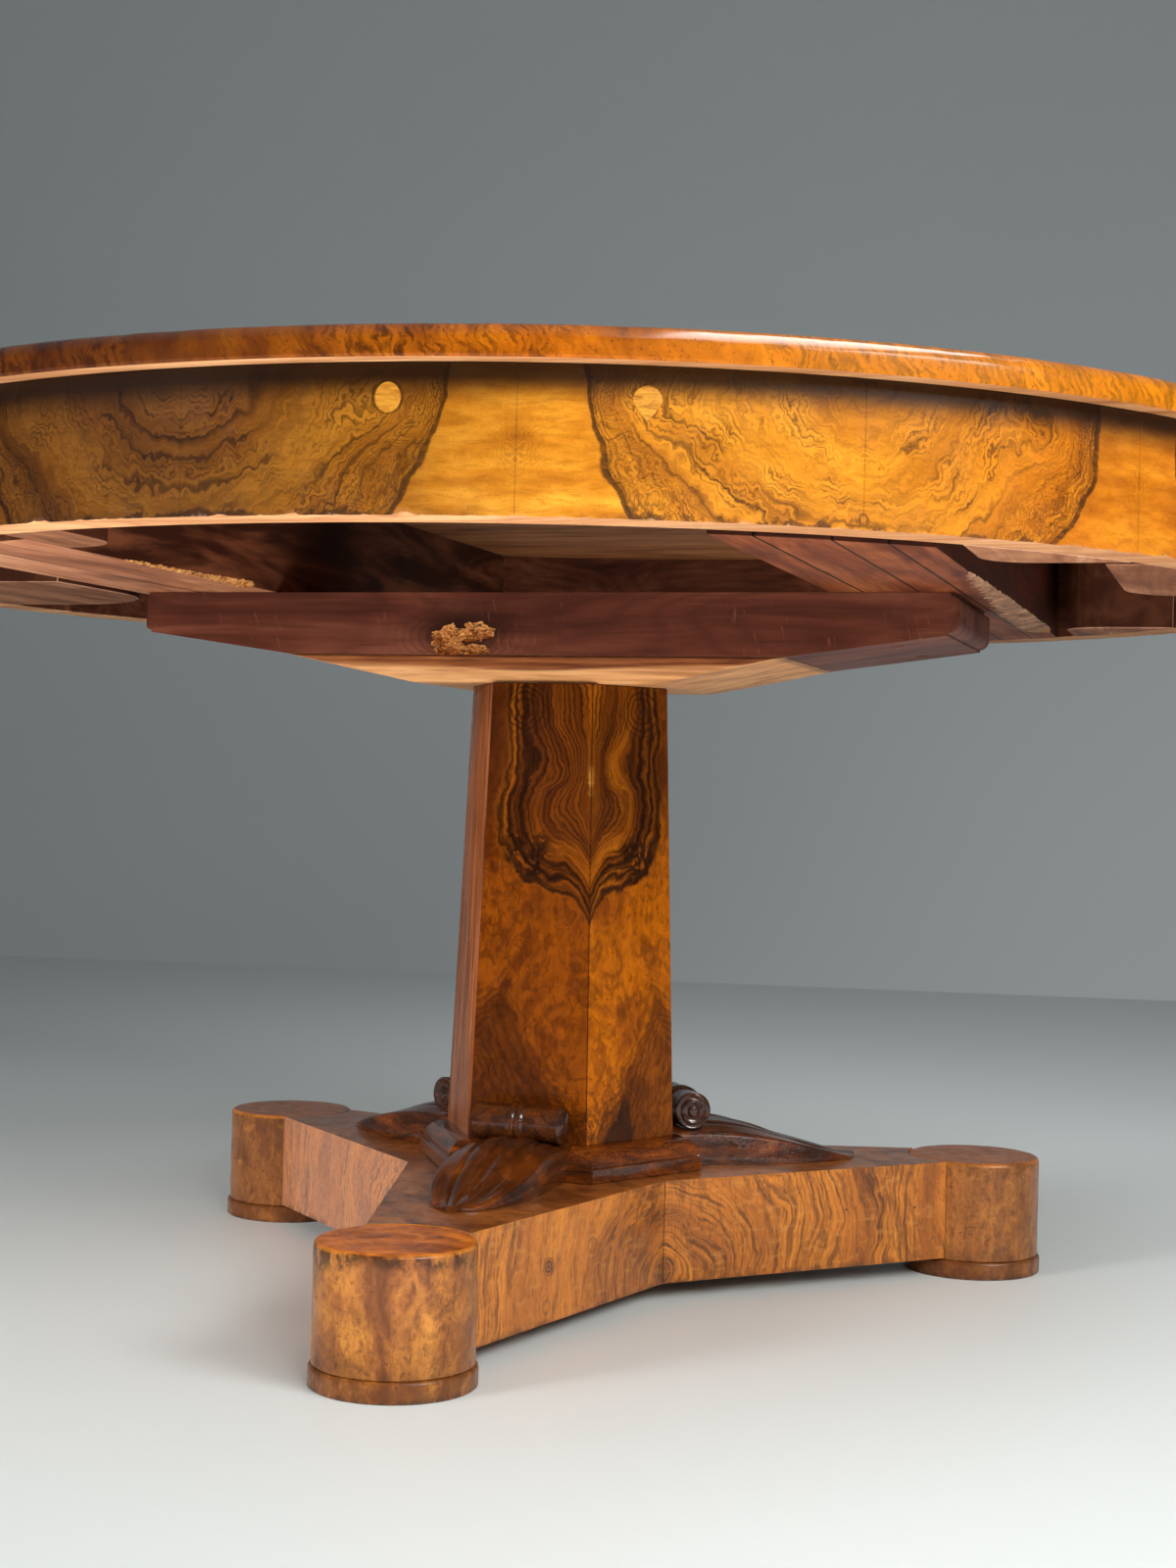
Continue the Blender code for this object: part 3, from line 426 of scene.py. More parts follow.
def column_material():
    """Six sides, book-matched at every second corner: nested arches above, mottled wood below."""
    g = Graph("column_walnut", coat=0.04, coat_roughness=0.1, specular=0.12)
    x, y, z = g.xyz()
    turn = g.turn(x, y)
    across = g.math("PINGPONG", (turn - 30) / 60, 1.0) * 0.105
    drift = (x + y) * 0.25
    place = g.vector(across, z, drift)
    slow = g.noise(place, 10, 2) - 0.5
    wavy = g.noise(place, 34, 3, 0.55) - 0.5
    jagged = g.noise(place, 130, 3, 0.6) - 0.5
    cusp = g.math("POWER", 2.0, across * -110.0) * 0.034
    below = g.math("MAXIMUM", ARCH_LEVEL - z - cusp, 0.0)
    level = (z - COLUMN_BOTTOM) / COLUMN_HEIGHT
    neck = g.curve(level,
                   ((0.0, 0.0), (1.0, 0.02), (0.72, 0.0), (0.78, 0.24), (0.83, 0.52), (0.88, 0.4),
                    (0.94, 0.1)))
    pinch = 1.0 - neck * (1.0 - g.step(across, 0.015, 0.08) * 0.8)
    warp = slow * 0.03 + wavy * 0.017 + jagged * 0.004
    cube = g.math("POWER", across / pinch, 3.0) + g.math("POWER", below, 3.0)
    field = g.math("POWER", cube, 1 / 3.0) + warp
    tone = g.ramp(g.noise((field, z * 0.08, drift), 40, 2), (0.3, 92, 43, 7), (0.72, 182, 102, 16),
                  (0.5, 138, 72, 10))
    arched = g.step(field, 0.1005, 0.0965)
    bundles = g.step(g.noise((field, z * 0.1, drift + 7.0), 46, 2), 0.36, 0.58)
    fine = g.lines(field + jagged * 0.003, 0.006, 2.0) * (bundles * 0.75 + 0.25) * arched
    thin = g.rings(field, z, drift, 240, 0.48, 0.6) * (arched * 0.8 + 0.12)
    frame_band = g.step(field, 0.064, 0.074) * g.step(field, 0.102, 0.096)
    strands = g.lines(field + wavy * 0.006, 0.0092, 0.8)
    lobes = g.step(g.length(across - 0.066, z - 0.398) + wavy * 0.045, 0.036, 0.016)
    islands = g.step(g.noise(place, 58, 3, 0.6, 1.4), 0.56, 0.48)
    frame_dark = g.math("MAXIMUM", frame_band * strands * 0.88, lobes * islands * 0.92)
    eye = g.length(across - 0.07, (z - 0.538) * 1.2) + wavy * 0.02
    eye_lines = g.lines(eye, 0.0066, 2.0) * g.step(eye, 0.036, 0.022)
    hills = g.noise((across, z * 0.62, drift), 15, 4, 0.6, 1.0)
    lower = g.ramp(hills, (0.26, 86, 39, 4), (0.76, 208, 115, 8), (0.4, 136, 67, 6), (0.52, 182, 98, 7),
                   (0.62, 152, 79, 6))
    curls = g.noise((across, z * 0.7, drift), 70, 4, 0.65, 1.4)
    colour = g.layers(tone,
        (fine * 0.82, 42, 18, 4),
        (thin * 0.42, 52, 23, 5),
        (frame_dark, 24, 10, 3),
        (eye_lines * 0.7, 40, 17, 4))
    low_field = across * 0.9 + (z - 0.2) * 0.3 + slow * 0.07 + wavy * 0.03
    peak = 0.3 - z - abs(across - 0.071) * 0.9
    flames = g.math("MINIMUM", (across * 1.97 - z + 0.136) * 0.45, peak) + wavy * 0.03 + slow * 0.04
    wing = g.step(flames, -0.002, 0.014)
    flame_lines = g.lines(flames, 0.0085, 2.0) * g.step(flames, -0.016, 0.004)
    shoulder = g.step(z, 0.4, 0.47)
    # Painted shade: the face between -30 and 30 degrees darkened, as it is turned from the light.
    shaded_face = g.step(turn, 31.0, 29.5) * g.step(turn, -31.0, -29.5)
    lower = g.layers(lower,
        (g.step(curls, 0.46, 0.61) * 0.52, 86, 39, 4),
        (g.rings(low_field, z, drift, 110, 0.5, 0.62) * 0.22, 70, 32, 4),
        (wing * 0.6, 74, 33, 6),
        (flame_lines * 0.42, 50, 22, 4),
        (shoulder * 0.6, 70, 32, 9))
    # Painted shade on that face.
    lower = g.mix(shaded_face, lower, (0.66, 0.62, 0.7, 1.0), "MULTIPLY")
    colour = g.mix(arched, lower, colour)
    # Painted shade on that face, over the arches too.
    colour = g.mix(shaded_face, colour, (0.66, 0.61, 0.66, 1.0), "MULTIPLY")
    patch_edge = g.length(across - 0.04, (z - 0.143) * 0.75) + wavy * 0.05 + jagged * 0.014
    patch = g.step(patch_edge, 0.027, 0.017)
    fringe = g.lines(patch_edge, 0.006, 2.0) * g.step(patch_edge, 0.062, 0.026)
    pale = g.step(g.length(across * 2.2, (z - 0.474) * 0.55) + jagged * 0.014, 0.0085, 0.002)
    silk = g.noise((across * 6, z * 0.6, drift), 70, 3, 0.6)
    pores = g.noise((across * 1.6, z, drift), 560, 2)
    seam = g.step(across, 0.001, 0.0003)
    away = g.toward(turn, PLAIN_SIDE)
    plain_side = g.step(away, 0.865, 0.8672)
    upright = g.noise((across * 3.2, z * 0.22, drift), 50, 4, 0.6)
    brown = g.ramp(upright, (0.3, 84, 45, 24), (0.72, 160, 98, 60), (0.5, 124, 71, 41))
    colour = g.layers(colour,
        (patch * 0.85, 32, 15, 6),
        (fringe * 0.6, 48, 22, 6),
        (pale * 0.62, 196, 142, 56),
        (g.step(silk, 0.45, 0.75) * (wing * 0.35 + 0.3), 72, 34, 8),
        (g.step(pores, 0.54, 0.7) * 0.28, 40, 18, 5),
        (seam * 0.4, 64, 30, 8))
    colour = g.mix(plain_side, colour, g.mix(g.step(pores, 0.5, 0.7) * 0.4, brown, rgb(76, 41, 22)))
    roughness = g.step(g.noise(place, 22, 3), 0.3, 0.8) * 0.14 + 0.24
    height = pores * 0.4 + fine * -0.3 + seam * -0.8 + g.noise(place, 22, 1) * 1.2
    return g.finish(colour, roughness, height, 0.00018)


def base_material():
    """Arms: arcs book-matched at the inner corners, upright stripes further out, a darker top."""
    g = Graph("base_walnut", coat=0.45, coat_roughness=0.2, specular=0.25)
    x, y, z = g.xyz()
    reach = g.reach(x, y)
    out = reach - CORNER_REACH
    drift = (x * 0.8 - y) * 0.3
    place = g.vector(out, z, drift)
    slow = g.noise(place, 11, 2) - 0.5
    wavy = g.noise((out, z * 0.7, drift), 30, 3, 0.55) - 0.5
    field = g.length(out, (z - 0.03) * 0.9) + slow * 0.06 + wavy * 0.014
    bands = g.noise((field, z * 0.1, drift), 26, 2)
    tone = g.ramp(bands, (0.28, 142, 78, 22), (0.74, 206, 126, 36), (0.42, 174, 100, 28),
                  (0.55, 192, 114, 32))
    lively = g.math("MAXIMUM", g.step(g.noise((field, 0.0, drift), 13, 1), 0.44, 0.6),
                    g.step(field, 0.125, 0.085) * 0.9)
    fine = g.lines(field + wavy * 0.004, 0.0056, 3.0) * lively
    silk = g.noise((out * 5, z * 0.35, drift), 130, 3, 0.6)
    flame = g.noise((out * 1.5 + z * 0.35, z * 0.3, drift), 58, 4, 0.62, 1.0)
    sheen = g.noise((out, z * 2.6, drift), 60, 2)
    spots = g.cells((out, z, drift), 13)
    knots = g.step(spots, 0.075, 0.035) * g.step(out, 0.05, 0.1)
    on_front = g.step(x, 0.0, 0.02) * g.step(y, -0.1, -0.14)
    eye = g.length(out - 0.19, z - 0.066)
    holes = g.step(g.cells((x, y, z), 34), 0.062, 0.04)
    grain = g.noise((x, y, z), 24, 4, 0.6, 0.8)
    top = g.ramp(grain, (0.3, 98, 53, 22), (0.75, 190, 119, 52), (0.5, 146, 86, 36))
    streak = g.noise(((x * 0.86 + y * 0.5) * 5, (y * 0.86 - x * 0.5) * 1.4, z), 40, 3)
    side = g.layers(tone,
        (g.rings(field, z, drift, 210, 0.5, 0.6) * (lively * 0.46 + 0.22), 82, 44, 12),
        (g.rings(field, z, drift + 3.0, 130, 0.585, 0.635) * lively * 0.8, 58, 30, 9),
        (fine * 0.36, 92, 50, 14),
        (g.step(silk, 0.42, 0.7) * 0.48, 120, 68, 24),
        (g.step(flame, 0.52, 0.64) * 0.5, 88, 47, 18),
        (g.step(sheen, 0.52, 0.75) * 0.3, 206, 140, 62),
        (g.lines(spots + wavy * 0.06, 0.055, 2.0) * g.step(spots, 0.22, 0.1) * 0.45, 96, 52, 18),
        (knots * 0.75, 52, 27, 11),
        (g.step(eye, 0.0085, 0.006) * on_front * 0.45, 96, 58, 30),
        (g.lines(eye, 0.0034, 1.5) * g.step(eye, 0.0095, 0.005) * on_front, 44, 24, 12),
        (holes * 0.85, 34, 18, 9))
    sideways, _, facing = g.normal()
    top = g.layers(top, (g.step(streak, 0.48, 0.68) * 0.45, 66, 33, 15))
    # Painted sheen: faces turned to the left lighter and pinker, standing in for light from the left.
    side = g.layers(side, (g.step(sideways, -0.3, -0.6) * 0.32, 188, 142, 124))
    colour = g.mix(g.step(facing, 0.6, 0.9), side, top)
    pores = g.noise((x, y, z * 0.4), 400, 2)
    seam = g.step(abs(out), 0.0009, 0.0003)
    worn = g.noise((x, y, z), 60, 3)
    low_edge = g.step(z, ARM_BOTTOM + 0.007, ARM_BOTTOM) * g.step(worn, 0.46, 0.58)
    roughness = g.step(worn, 0.3, 0.8) * 0.18 + 0.28
    height = pores * 0.6 + seam * -1.0 + g.noise(place, 20, 1)
    colour = g.layers(colour,
        (g.step(pores, 0.54, 0.7) * 0.38, 62, 33, 15),
        (seam * 0.45, 64, 34, 16),
        (low_edge * 0.6, 58, 32, 16))
    return g.finish(colour, roughness, height, 0.0002)


def foot_material():
    """Burr veneer of drums and rings, dark and chipped at the edges."""
    g = Graph("foot_walnut", coat=0.3, coat_roughness=0.22, specular=0.25)
    x, y, z = g.xyz()
    place = g.vector(x, y, z * 0.75)
    warp = g.noise(place, 18, 3) - 0.5
    tone = g.ramp(g.noise(place, 15, 4, 0.62, 1.4), (0.28, 78, 40, 20), (0.74, 190, 126, 50),
                  (0.42, 124, 72, 33), (0.54, 158, 98, 41))
    burr = g.step(g.noise(place, 44, 4, 0.65, 2.2), 0.5, 0.62)
    flow = g.noise((x, y, z * 0.16 + warp * 0.05), 74, 4, 0.62, 0.5)
    tone = g.layers(tone, (burr * 0.42, 90, 48, 20))
    upright = g.noise((x, y, z * 0.1 + warp * 0.03), 66, 4, 0.62)
    straight = g.ramp(upright, (0.3, 84, 48, 26), (0.72, 168, 106, 54), (0.5, 128, 77, 38))
    outer = g.step(abs(x), 0.2, 0.25)
    colour = g.layers(tone, (g.step(flow, 0.46, 0.68) * 0.34, 88, 48, 20))
    colour = g.mix(outer * 0.72, colour, straight)
    flecks = g.noise((x, y, z * 0.6), 420, 4, 0.7)
    specks = g.noise((x, y, z * 0.5), 170, 3, 0.6, 0.6)
    worn = g.noise(place, 70, 4, 0.6)
    smoke = g.noise(place, 26, 3, 0.6)
    rim = g.step(z + smoke * 0.036, 0.11, 0.122) * g.step(worn, 0.42, 0.54) * (1.0 - outer * 0.75)
    _, _, facing = g.normal()
    top = g.step(facing, 0.7, 0.95)
    dashes = g.noise((x * 0.8, y * 0.8, z * 2.4), 120, 3, 0.6, 0.8)
    sheen = g.step(g.noise((x, y, z * 0.7), 46, 4, 0.6, 1.2), 0.52, 0.7)
    dirt = g.step(z + smoke * 0.04, 0.06, 0.03) * g.step(worn, 0.36, 0.6)
    ring = g.step(z, 0.0175, 0.0168)
    foot_edge = g.step(z, 0.006, 0.001) * g.step(worn, 0.4, 0.55)
    scuff = g.step(g.noise(place, 44, 4, 0.65), 0.6, 0.68)
    grain = g.noise((x * 1.5, y * 1.5, z), 26, 4, 0.6, 0.8)
    face = g.ramp(grain, (0.3, 120, 58, 17), (0.72, 232, 138, 44), (0.5, 186, 100, 31))
    colour = g.layers(colour,
        (g.step(x, -0.2, -0.25) * 0.3, 80, 48, 30),
        (g.step(flecks, 0.46, 0.66) * 0.42, 74, 41, 17),
        (g.step(specks, 0.56, 0.66) * 0.5, 82, 44, 22),
        (rim * 0.86 * (1.0 - top), 46, 27, 14),
        (g.step(dashes, 0.62, 0.7) * 0.6 * (1.0 - top), 66, 36, 16),
        (sheen * 0.26, 200, 132, 50),
        (dirt * 0.42, 72, 40, 17),
        (ring * g.step(worn, 0.25, 0.6) * 0.6, 92, 48, 20),
        (foot_edge * 0.6, 44, 28, 18),
        (scuff * 0.35, 58, 34, 18))
    face = g.layers(face,
        (outer * 0.62, 128, 82, 52),
        (g.step(flecks, 0.5, 0.66) * 0.3, 84, 44, 18))
    colour = g.mix(top * g.step(z, 0.05, 0.06), colour, face)
    # Rounded upper edges: a pale arris on the drums, partly wear and partly a painted highlight; a darker
    # line on the rings.
    arris = g.step(facing, 0.2, 0.45) * g.step(facing, 0.99, 0.9) * g.step(smoke, 0.34, 0.56)
    roughness = g.step(worn, 0.3, 0.75) * 0.22 + 0.3
    height = flecks * -0.6 + worn * 0.8 + rim * -0.8
    colour = g.layers(colour,
        (arris * g.step(z, 0.05, 0.06) * 0.36, 226, 138, 48),
        (arris * g.step(z, 0.06, 0.05) * 0.3, 70, 38, 18))
    return g.finish(colour, roughness, height, 0.0003)


def carved_material(name, around):
    """Dark, glossy carved walnut with streaks that run out along each arm, or around the column."""
    g = Graph(name, coat=0.8, coat_roughness=0.1, specular=0.35)
    x, y, z = g.xyz()
    place = g.vector(x, y, z)
    reach = g.reach(x, y)
    spread = g.math("SQRT", g.math("MAXIMUM", x * x + y * y - reach * reach, 0.0))
    bend = g.noise(place, 20, 3) - 0.5
    run, cross = (reach * 0.35, spread)
    if around:
        run, cross = (g.turn(x, y) * 0.0003, g.length(x, y) * 0.5)
    streak = g.noise((run, cross + bend * 0.012, z * 1.2 + bend * 0.01), 64, 4, 0.62, 0.6)
    lift = 1.2 if around else 1.0
    tone = g.ramp(streak, (0.28, 34 * lift, 14 * lift, 4), (0.76, 150 * lift, 78 * lift, 20),
                  (0.46, 74 * lift, 34 * lift, 9), (0.6, 106 * lift, 51 * lift, 13))
    lines = g.lines(streak, 0.045, 2.0)
    pores = g.noise(place, 520, 2)
    vein = g.noise((x, y, z * 2.0), 19, 2, 0.5, 2.0)
    cracks = g.step(vein, 0.494, 0.5) * g.step(vein, 0.506, 0.5)
    colour = g.layers(tone,
        (lines * 0.55, 28, 12, 4),
        (g.step(pores, 0.54, 0.7) * 0.35, 26, 11, 4),
        (cracks * 0.5, 20, 9, 4))
    if not around:
        colour = g.layers(colour, (g.step(z, 0.146, 0.15) * 0.42, 34, 16, 7))
    roughness = g.step(g.noise(place, 45, 3), 0.3, 0.8) * 0.14 + 0.16
    height = pores * 0.4 + lines * -0.4 + cracks * -1.0 + g.noise(place, 60, 2)
    return g.finish(colour, roughness, height, 0.0003)


def plain_wood(name, dark, middle, light, along, rough, knots=0.0, seams=(), sides=None, knot=None,
               right_shade=0.0):
    """Plain secondary wood with its grain along X or Y, saw marks, stains and seams between boards.

    Upright faces take the colour of sides; knot gives the place of a knot hole with rings about it.
    """
    g = Graph(name, specular=0.15)
    x, y, z = g.xyz()
    run, cross = (x, y) if along == "x" else (y, x)
    place = g.vector(run * 0.16, cross, z)
    figure = g.noise(place, 26, 4, 0.6, 0.8)
    tone = g.ramp(figure, (0.3, *dark), (0.75, *light), (0.5, *middle))
    fibres = g.noise((run * 0.05, cross, z), 240, 3, 0.6)
    rings = g.lines(g.noise(place, 10, 1, 0.5, 0.4), 0.045, 3.0)
    stain = g.noise((x, y, z), 6, 3, 0.6)
    colour = g.layers(tone,
        (g.step(fibres, 0.45, 0.75) * 0.5, *dark),
        (rings * 0.35, *dark),
        (g.step(stain, 0.5, 0.75) * 0.45, *dark))
    if knots:
        swirl = g.cells((run * 0.5, cross, z), 9)
        colour = g.layers(colour,
            (g.lines(swirl, 0.05, 2.0) * g.step(swirl, 0.34, 0.14) * 0.45, *dark),
            (g.step(swirl, 0.09, 0.03) * knots, *dark))
    if sides:
        _, _, facing = g.normal()
        upright = g.step(abs(facing), 0.6, 0.3)
        colour = g.mix(upright, colour, g.layers(rgb(*sides), (g.step(figure, 0.4, 0.65), *dark)))
    for place_across in seams:
        gap = g.step(abs(cross - place_across), 0.0018, 0.0006)
        colour = g.layers(colour, (gap * 0.92, 20, 11, 8))
    # Painted shade: darker and browner towards the right.
    if right_shade:
        colour = g.layers(colour, (g.step(g.turn(x, y), 6.0, 26.0) * right_shade, 128, 78, 38))
    if knot:
        away = g.length((x - knot[0]) * 0.55, (z - knot[2]) * 1.2) + (figure - 0.5) * 0.012
        growth = g.lines(away, 0.0046, 2.0) * g.step(away, 0.05, 0.018)
        smoke = g.step(g.length((x - knot[0] - 0.006) * 0.5, z - knot[2] - 0.01) + (stain - 0.5) * 0.03,
                       0.034, 0.01)
        scratch = g.noise((y * 0.2, x + z * 0.25, z * 0.2), 230, 2)
        scored = g.step(scratch, 0.64, 0.72) * g.step(g.noise((x, y, z), 11, 1), 0.46, 0.6)
        _, forward, facing = g.normal()
        arris = g.step(facing, -0.2, -0.36) * g.step(facing, -0.99, -0.93) * g.step(forward, -0.15, -0.3)
        colour = g.layers(colour,
            (growth * 0.45, *dark),
            (g.step(away, 0.026, 0.012) * 0.65, 34, 17, 12),
            (smoke * 0.55, 26, 13, 10),
            (scored * 0.5, *light),
            (arris * g.step(stain, 0.36, 0.5) * 0.8, 206, 150, 118))
    roughness = g.step(stain, 0.3, 0.8) * 0.18 + rough
    height = fibres * 0.8 + figure * 0.6
    return g.finish(colour, roughness, height, 0.0004)


def lower_board_material():
    """Pale board whose front edge is brown above and freshly planed below."""
    g = Graph("pale_beech", specular=0.3)
    x, y, z = g.xyz()
    figure = g.noise((x * 0.16, y, z * 2.0), 34, 4, 0.6, 0.8)
    tone = g.ramp(figure, (0.3, 156, 102, 62), (0.75, 240, 186, 128), (0.5, 212, 150, 96))
    lean = z + (figure - 0.5) * 0.01 - abs(x + 0.0125) * 0.03
    brown = g.step(lean, 0.5705, 0.5745)
    _, facing, _ = g.normal()
    edge = g.step(abs(facing), 0.5, 0.8)
    stripe = g.ramp(g.noise((x * 0.1, y, z * 2.4), 120, 3, 0.6), (0.35, 92, 46, 22), (0.7, 172, 106, 58),
                    (0.5, 136, 76, 38))
    colour = g.mix(brown * edge, tone, stripe)
    fibres = g.noise((x * 0.05, y, z), 260, 3, 0.6)
    seam_edge = g.step(z, 0.5835, 0.585)
    colour = g.layers(colour,
        (g.step(fibres, 0.46, 0.74) * 0.45, 128, 78, 46),
        (seam_edge * 0.5, 44, 22, 13))
    return g.finish(colour, figure * 0.2 + 0.45, fibres + figure * 0.5, 0.0004)


def torn_material():
    """Raw wood where a knot or a rough edge has broken away."""
    g = Graph("softwood_torn", specular=0.2)
    x, y, z = g.xyz()
    shreds = g.noise((x * 0.7, y, z * 1.3), 190, 4, 0.65, 1.5)
    colour = g.ramp(shreds, (0.34, 104, 56, 24), (0.7, 250, 198, 128), (0.45, 186, 118, 60),
                    (0.56, 228, 162, 92))
    holes = g.step(g.noise((x, y, z), 110, 3, 0.6), 0.59, 0.67)
    colour = g.layers(colour, (holes * 0.85, 44, 22, 11))
    return g.finish(colour, shreds * 0.2 + 0.6, shreds, 0.002)


def wane_material():
    """Rounded natural edge of a board, pale, with short cuts across it."""
    g = Graph("softwood_wane", specular=0.25)
    x, y, z = g.xyz()
    cloud = g.noise((x, y * 0.6, z), 46, 4, 0.6, 0.6)
    colour = g.ramp(cloud, (0.32, 104, 68, 48), (0.72, 190, 144, 108), (0.5, 148, 106, 78))
    cuts = g.noise((x * 0.3, y * 2.0, z * 0.3), 170, 3, 0.6)
    colour = g.layers(colour, (g.step(cuts, 0.56, 0.66) * 0.6, 82, 50, 34))
    return g.finish(colour, cloud * 0.2 + 0.55, cuts * -0.6 + cloud, 0.0012)


def plug_material():
    g = Graph("plug_wood", coat=0.06, coat_roughness=0.15, specular=0.25)
    x, y, z = g.xyz()
    grain = g.noise((x * 0.6, y, z * 3), 120, 3, 0.6, 0.6)
    tone = g.ramp(grain, (0.3, 158, 98, 28), (0.75, 228, 166, 66), (0.5, 204, 140, 46))
    pores = g.noise((x, y, z * 2.5), 600, 2)
    colour = g.layers(tone, (g.step(pores, 0.55, 0.7) * 0.4, 120, 72, 30))
    return g.finish(colour, grain * 0.2 + 0.28, pores, 0.0002)


def iron_material():
    g = Graph("iron")
    g.shader.inputs["Metallic"].default_value = 1.0
    place = g.vector(*g.xyz())
    rust = g.noise(place, 220, 3)
    colour = g.ramp(rust, (0.35, 206, 202, 192), (0.7, 120, 96, 78), (0.5, 176, 170, 160))
    return g.finish(colour, rust * 0.4 + 0.35, rust, 0.0003)


FRIEZE = frieze_material()
TOP = top_material()
COLUMN = column_material()
BASE = base_material()
FOOT = foot_material()
CARVED = carved_material("carved_walnut", False)
COLLAR = carved_material("carved_walnut_collar", True)
PLUG = plug_material()
IRON = iron_material()
KNOT = (-0.079, -0.090, 0.601)
BLOCK_DARK = plain_wood("stained_beech_across", (68, 33, 23), (98, 51, 37), (132, 78, 58), "x", 0.42,
                        knot=KNOT)
BEARER = plain_wood("stained_beech", (76, 34, 19), (124, 63, 34), (156, 92, 54), "y", 0.5,
                    seams=(0.295, 0.345, 0.381), sides=(58, 28, 18))
# Painted light: a lighter copy of the stained beech for the boards on the left, which are lit from below.
BEARER_LIT = plain_wood("stained_beech_painted_light", (128, 76, 50), (190, 124, 88), (226, 164, 122), "y", 0.5,
                         seams=(-0.345,), sides=(58, 28, 18))
PALE = lower_board_material()
# The rim takes painted shade on its right.
RIM = plain_wood("softwood_rim", (160, 102, 64), (220, 162, 112), (238, 190, 142), "x", 0.55,
                 right_shade=0.48)
INSIDE = plain_wood("softwood_inside", (60, 29, 19), (106, 58, 39), (142, 86, 60), "x", 0.6)
SOFT = plain_wood("softwood", (96, 55, 35), (146, 94, 63), (184, 132, 96), "y", 0.6, 0.6,
                  sides=(72, 37, 24))
EDGE = plain_wood("softwood_edge", (150, 100, 76), (206, 152, 122), (230, 186, 158), "y", 0.6)
TORN = torn_material()
WANE = wane_material()
BOARD = plain_wood("softwood_boards", (116, 67, 39), (174, 110, 66), (206, 148, 98), "x", 0.6, 0.5)


def smooth(mesh, angle=35.0):
    mesh.polygons.foreach_set("use_smooth", [True] * len(mesh.polygons))
    mesh.set_sharp_from_angle(angle=radians(angle))


def placed(name, data):
    made = bpy.data.objects.new(name, data)
    bpy.context.scene.collection.objects.link(made)
    return made


def piece(name, mesh, materials, slot, *nodes):
    """A finished piece that rides on the table and stands for the named solids."""
    for material in materials:
        mesh.materials.append(material)
    made = placed(name, mesh)
    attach(made, "root")
    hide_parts(*nodes)


def spun(turn, x, y, z):
    """A point turned about the table's axis."""
    return (x * cos(turn) - y * sin(turn), x * sin(turn) + y * cos(turn), z)


def polar(radius, turn, z):
    """The point at a radius and a turn, from the front towards +X."""
    return (radius * sin(turn), -radius * cos(turn), z)


def grid_mesh(name, rows, indices=None):
    """Mesh of closed rows of points, each as long as the others, with flat ends.

    indices gives the material of each face along a row; the ends take the last.
    """
    height, width = len(rows), len(rows[0])
    indices = indices or [0] * width
    faces = []
    for i in range(0, (height - 1) * width, width):
        for j in range(width):
            after = (j + 1) % width
            faces.append((i + j, i + after, i + width + after, i + width + j))
    faces.append(tuple(range(width))[::-1])
    faces.append(tuple((height - 1) * width + j for j in range(width)))
    marks = list(indices[:width]) * (height - 1) + [indices[-1]] * 2
    mesh = bpy.data.meshes.new(name)
    mesh.from_pydata([point for row in rows for point in row], [], faces)
    for polygon, mark in zip(mesh.polygons, marks):
        polygon.material_index = mark
    bm = bmesh.new()
    bm.from_mesh(mesh)
    bmesh.ops.recalc_face_normals(bm, faces=bm.faces)
    bm.to_mesh(mesh)
    bm.free()
    return mesh


def middle_turn(node):
    """Degrees round the table, from the front towards +X, of a node's middle."""
    co = np.zeros(len(NODES[node].data.vertices) * 3, np.float32)
    NODES[node].data.vertices.foreach_get("co", co)
    points = co.reshape(-1, 3)
    x, y, _ = points.mean(0)
    rough = atan2(x, -y)
    away = np.arctan2(points[:, 0], -points[:, 1]) - rough
    away = (away + pi) % (2 * pi) - pi
    return degrees(rough + (away.min() + away.max()) / 2)


def ring_piece(name, node, span, steps, section, materials, slot):
    """Part of a ring: section(angle) gives its (radius, height) points and their material indices."""
    middle = middle_turn(node)
    rows = []
    for step in range(steps + 1):
        angle = radians(middle + span * (step / steps - 0.5))
        points, indices = section(angle)
        rows.append([polar(r, angle, z) for r, z in points])
    mesh = grid_mesh(name, rows, indices)
    smooth(mesh)
    piece(name, mesh, materials, slot, node)


def frieze_section(angle):
    """Veneered outside with a chipped lower edge, plain rim and inside."""
    spot = Vector((sin(angle) * 40, cos(angle) * 40, 3.0))
    chip = 0.0008 + 0.0022 * max(noise.fractal(spot, 1.0, 2.0, 3) - 0.12, 0.0) * 3
    rise = chip * (1.2 + 0.6 * noise.noise(spot * 2.3))
    bottom, top = FRIEZE_BOTTOM, FRIEZE_BOTTOM + FRIEZE_HEIGHT
    points = [(FRIEZE_OUTER - chip, bottom), (FRIEZE_OUTER - chip * 0.35, bottom + rise * 0.35),
              (FRIEZE_OUTER, bottom + rise), (FRIEZE_OUTER, top), (FRIEZE_INNER, top),
              (FRIEZE_INNER, bottom + 0.0008), (FRIEZE_INNER + 0.0008, bottom)]
    return points, [1, 0, 0, 2, 2, 1, 1, 2]


def lipping_section(angle):
    """Edge of the top, with a plain underside and a worn, rounded upper arris."""
    inner, outer = LIPPING_INNER, TOP_RADIUS
    spot = Vector((sin(angle) * 22, cos(angle) * 22, 9.0))
    wear = max(0.0009 * noise.fractal(spot, 1.0, 2.0, 3), 0)
    points = [(inner, TOP_UNDERSIDE), (outer - 0.0018, TOP_UNDERSIDE), (outer, TOP_UNDERSIDE + 0.0018)]
    for step in range(9):
        lean = radians(90 * step / 8)
        points.append((outer - EDGE_ROUND * (1 - cos(lean)) - wear * sin(2 * lean),
                       TOP_LEVEL - EDGE_ROUND * (1 - sin(lean)) - wear * sin(2 * lean)))
    points.append((inner, TOP_LEVEL))
    return points, [1] + [0] * (len(points) - 1)


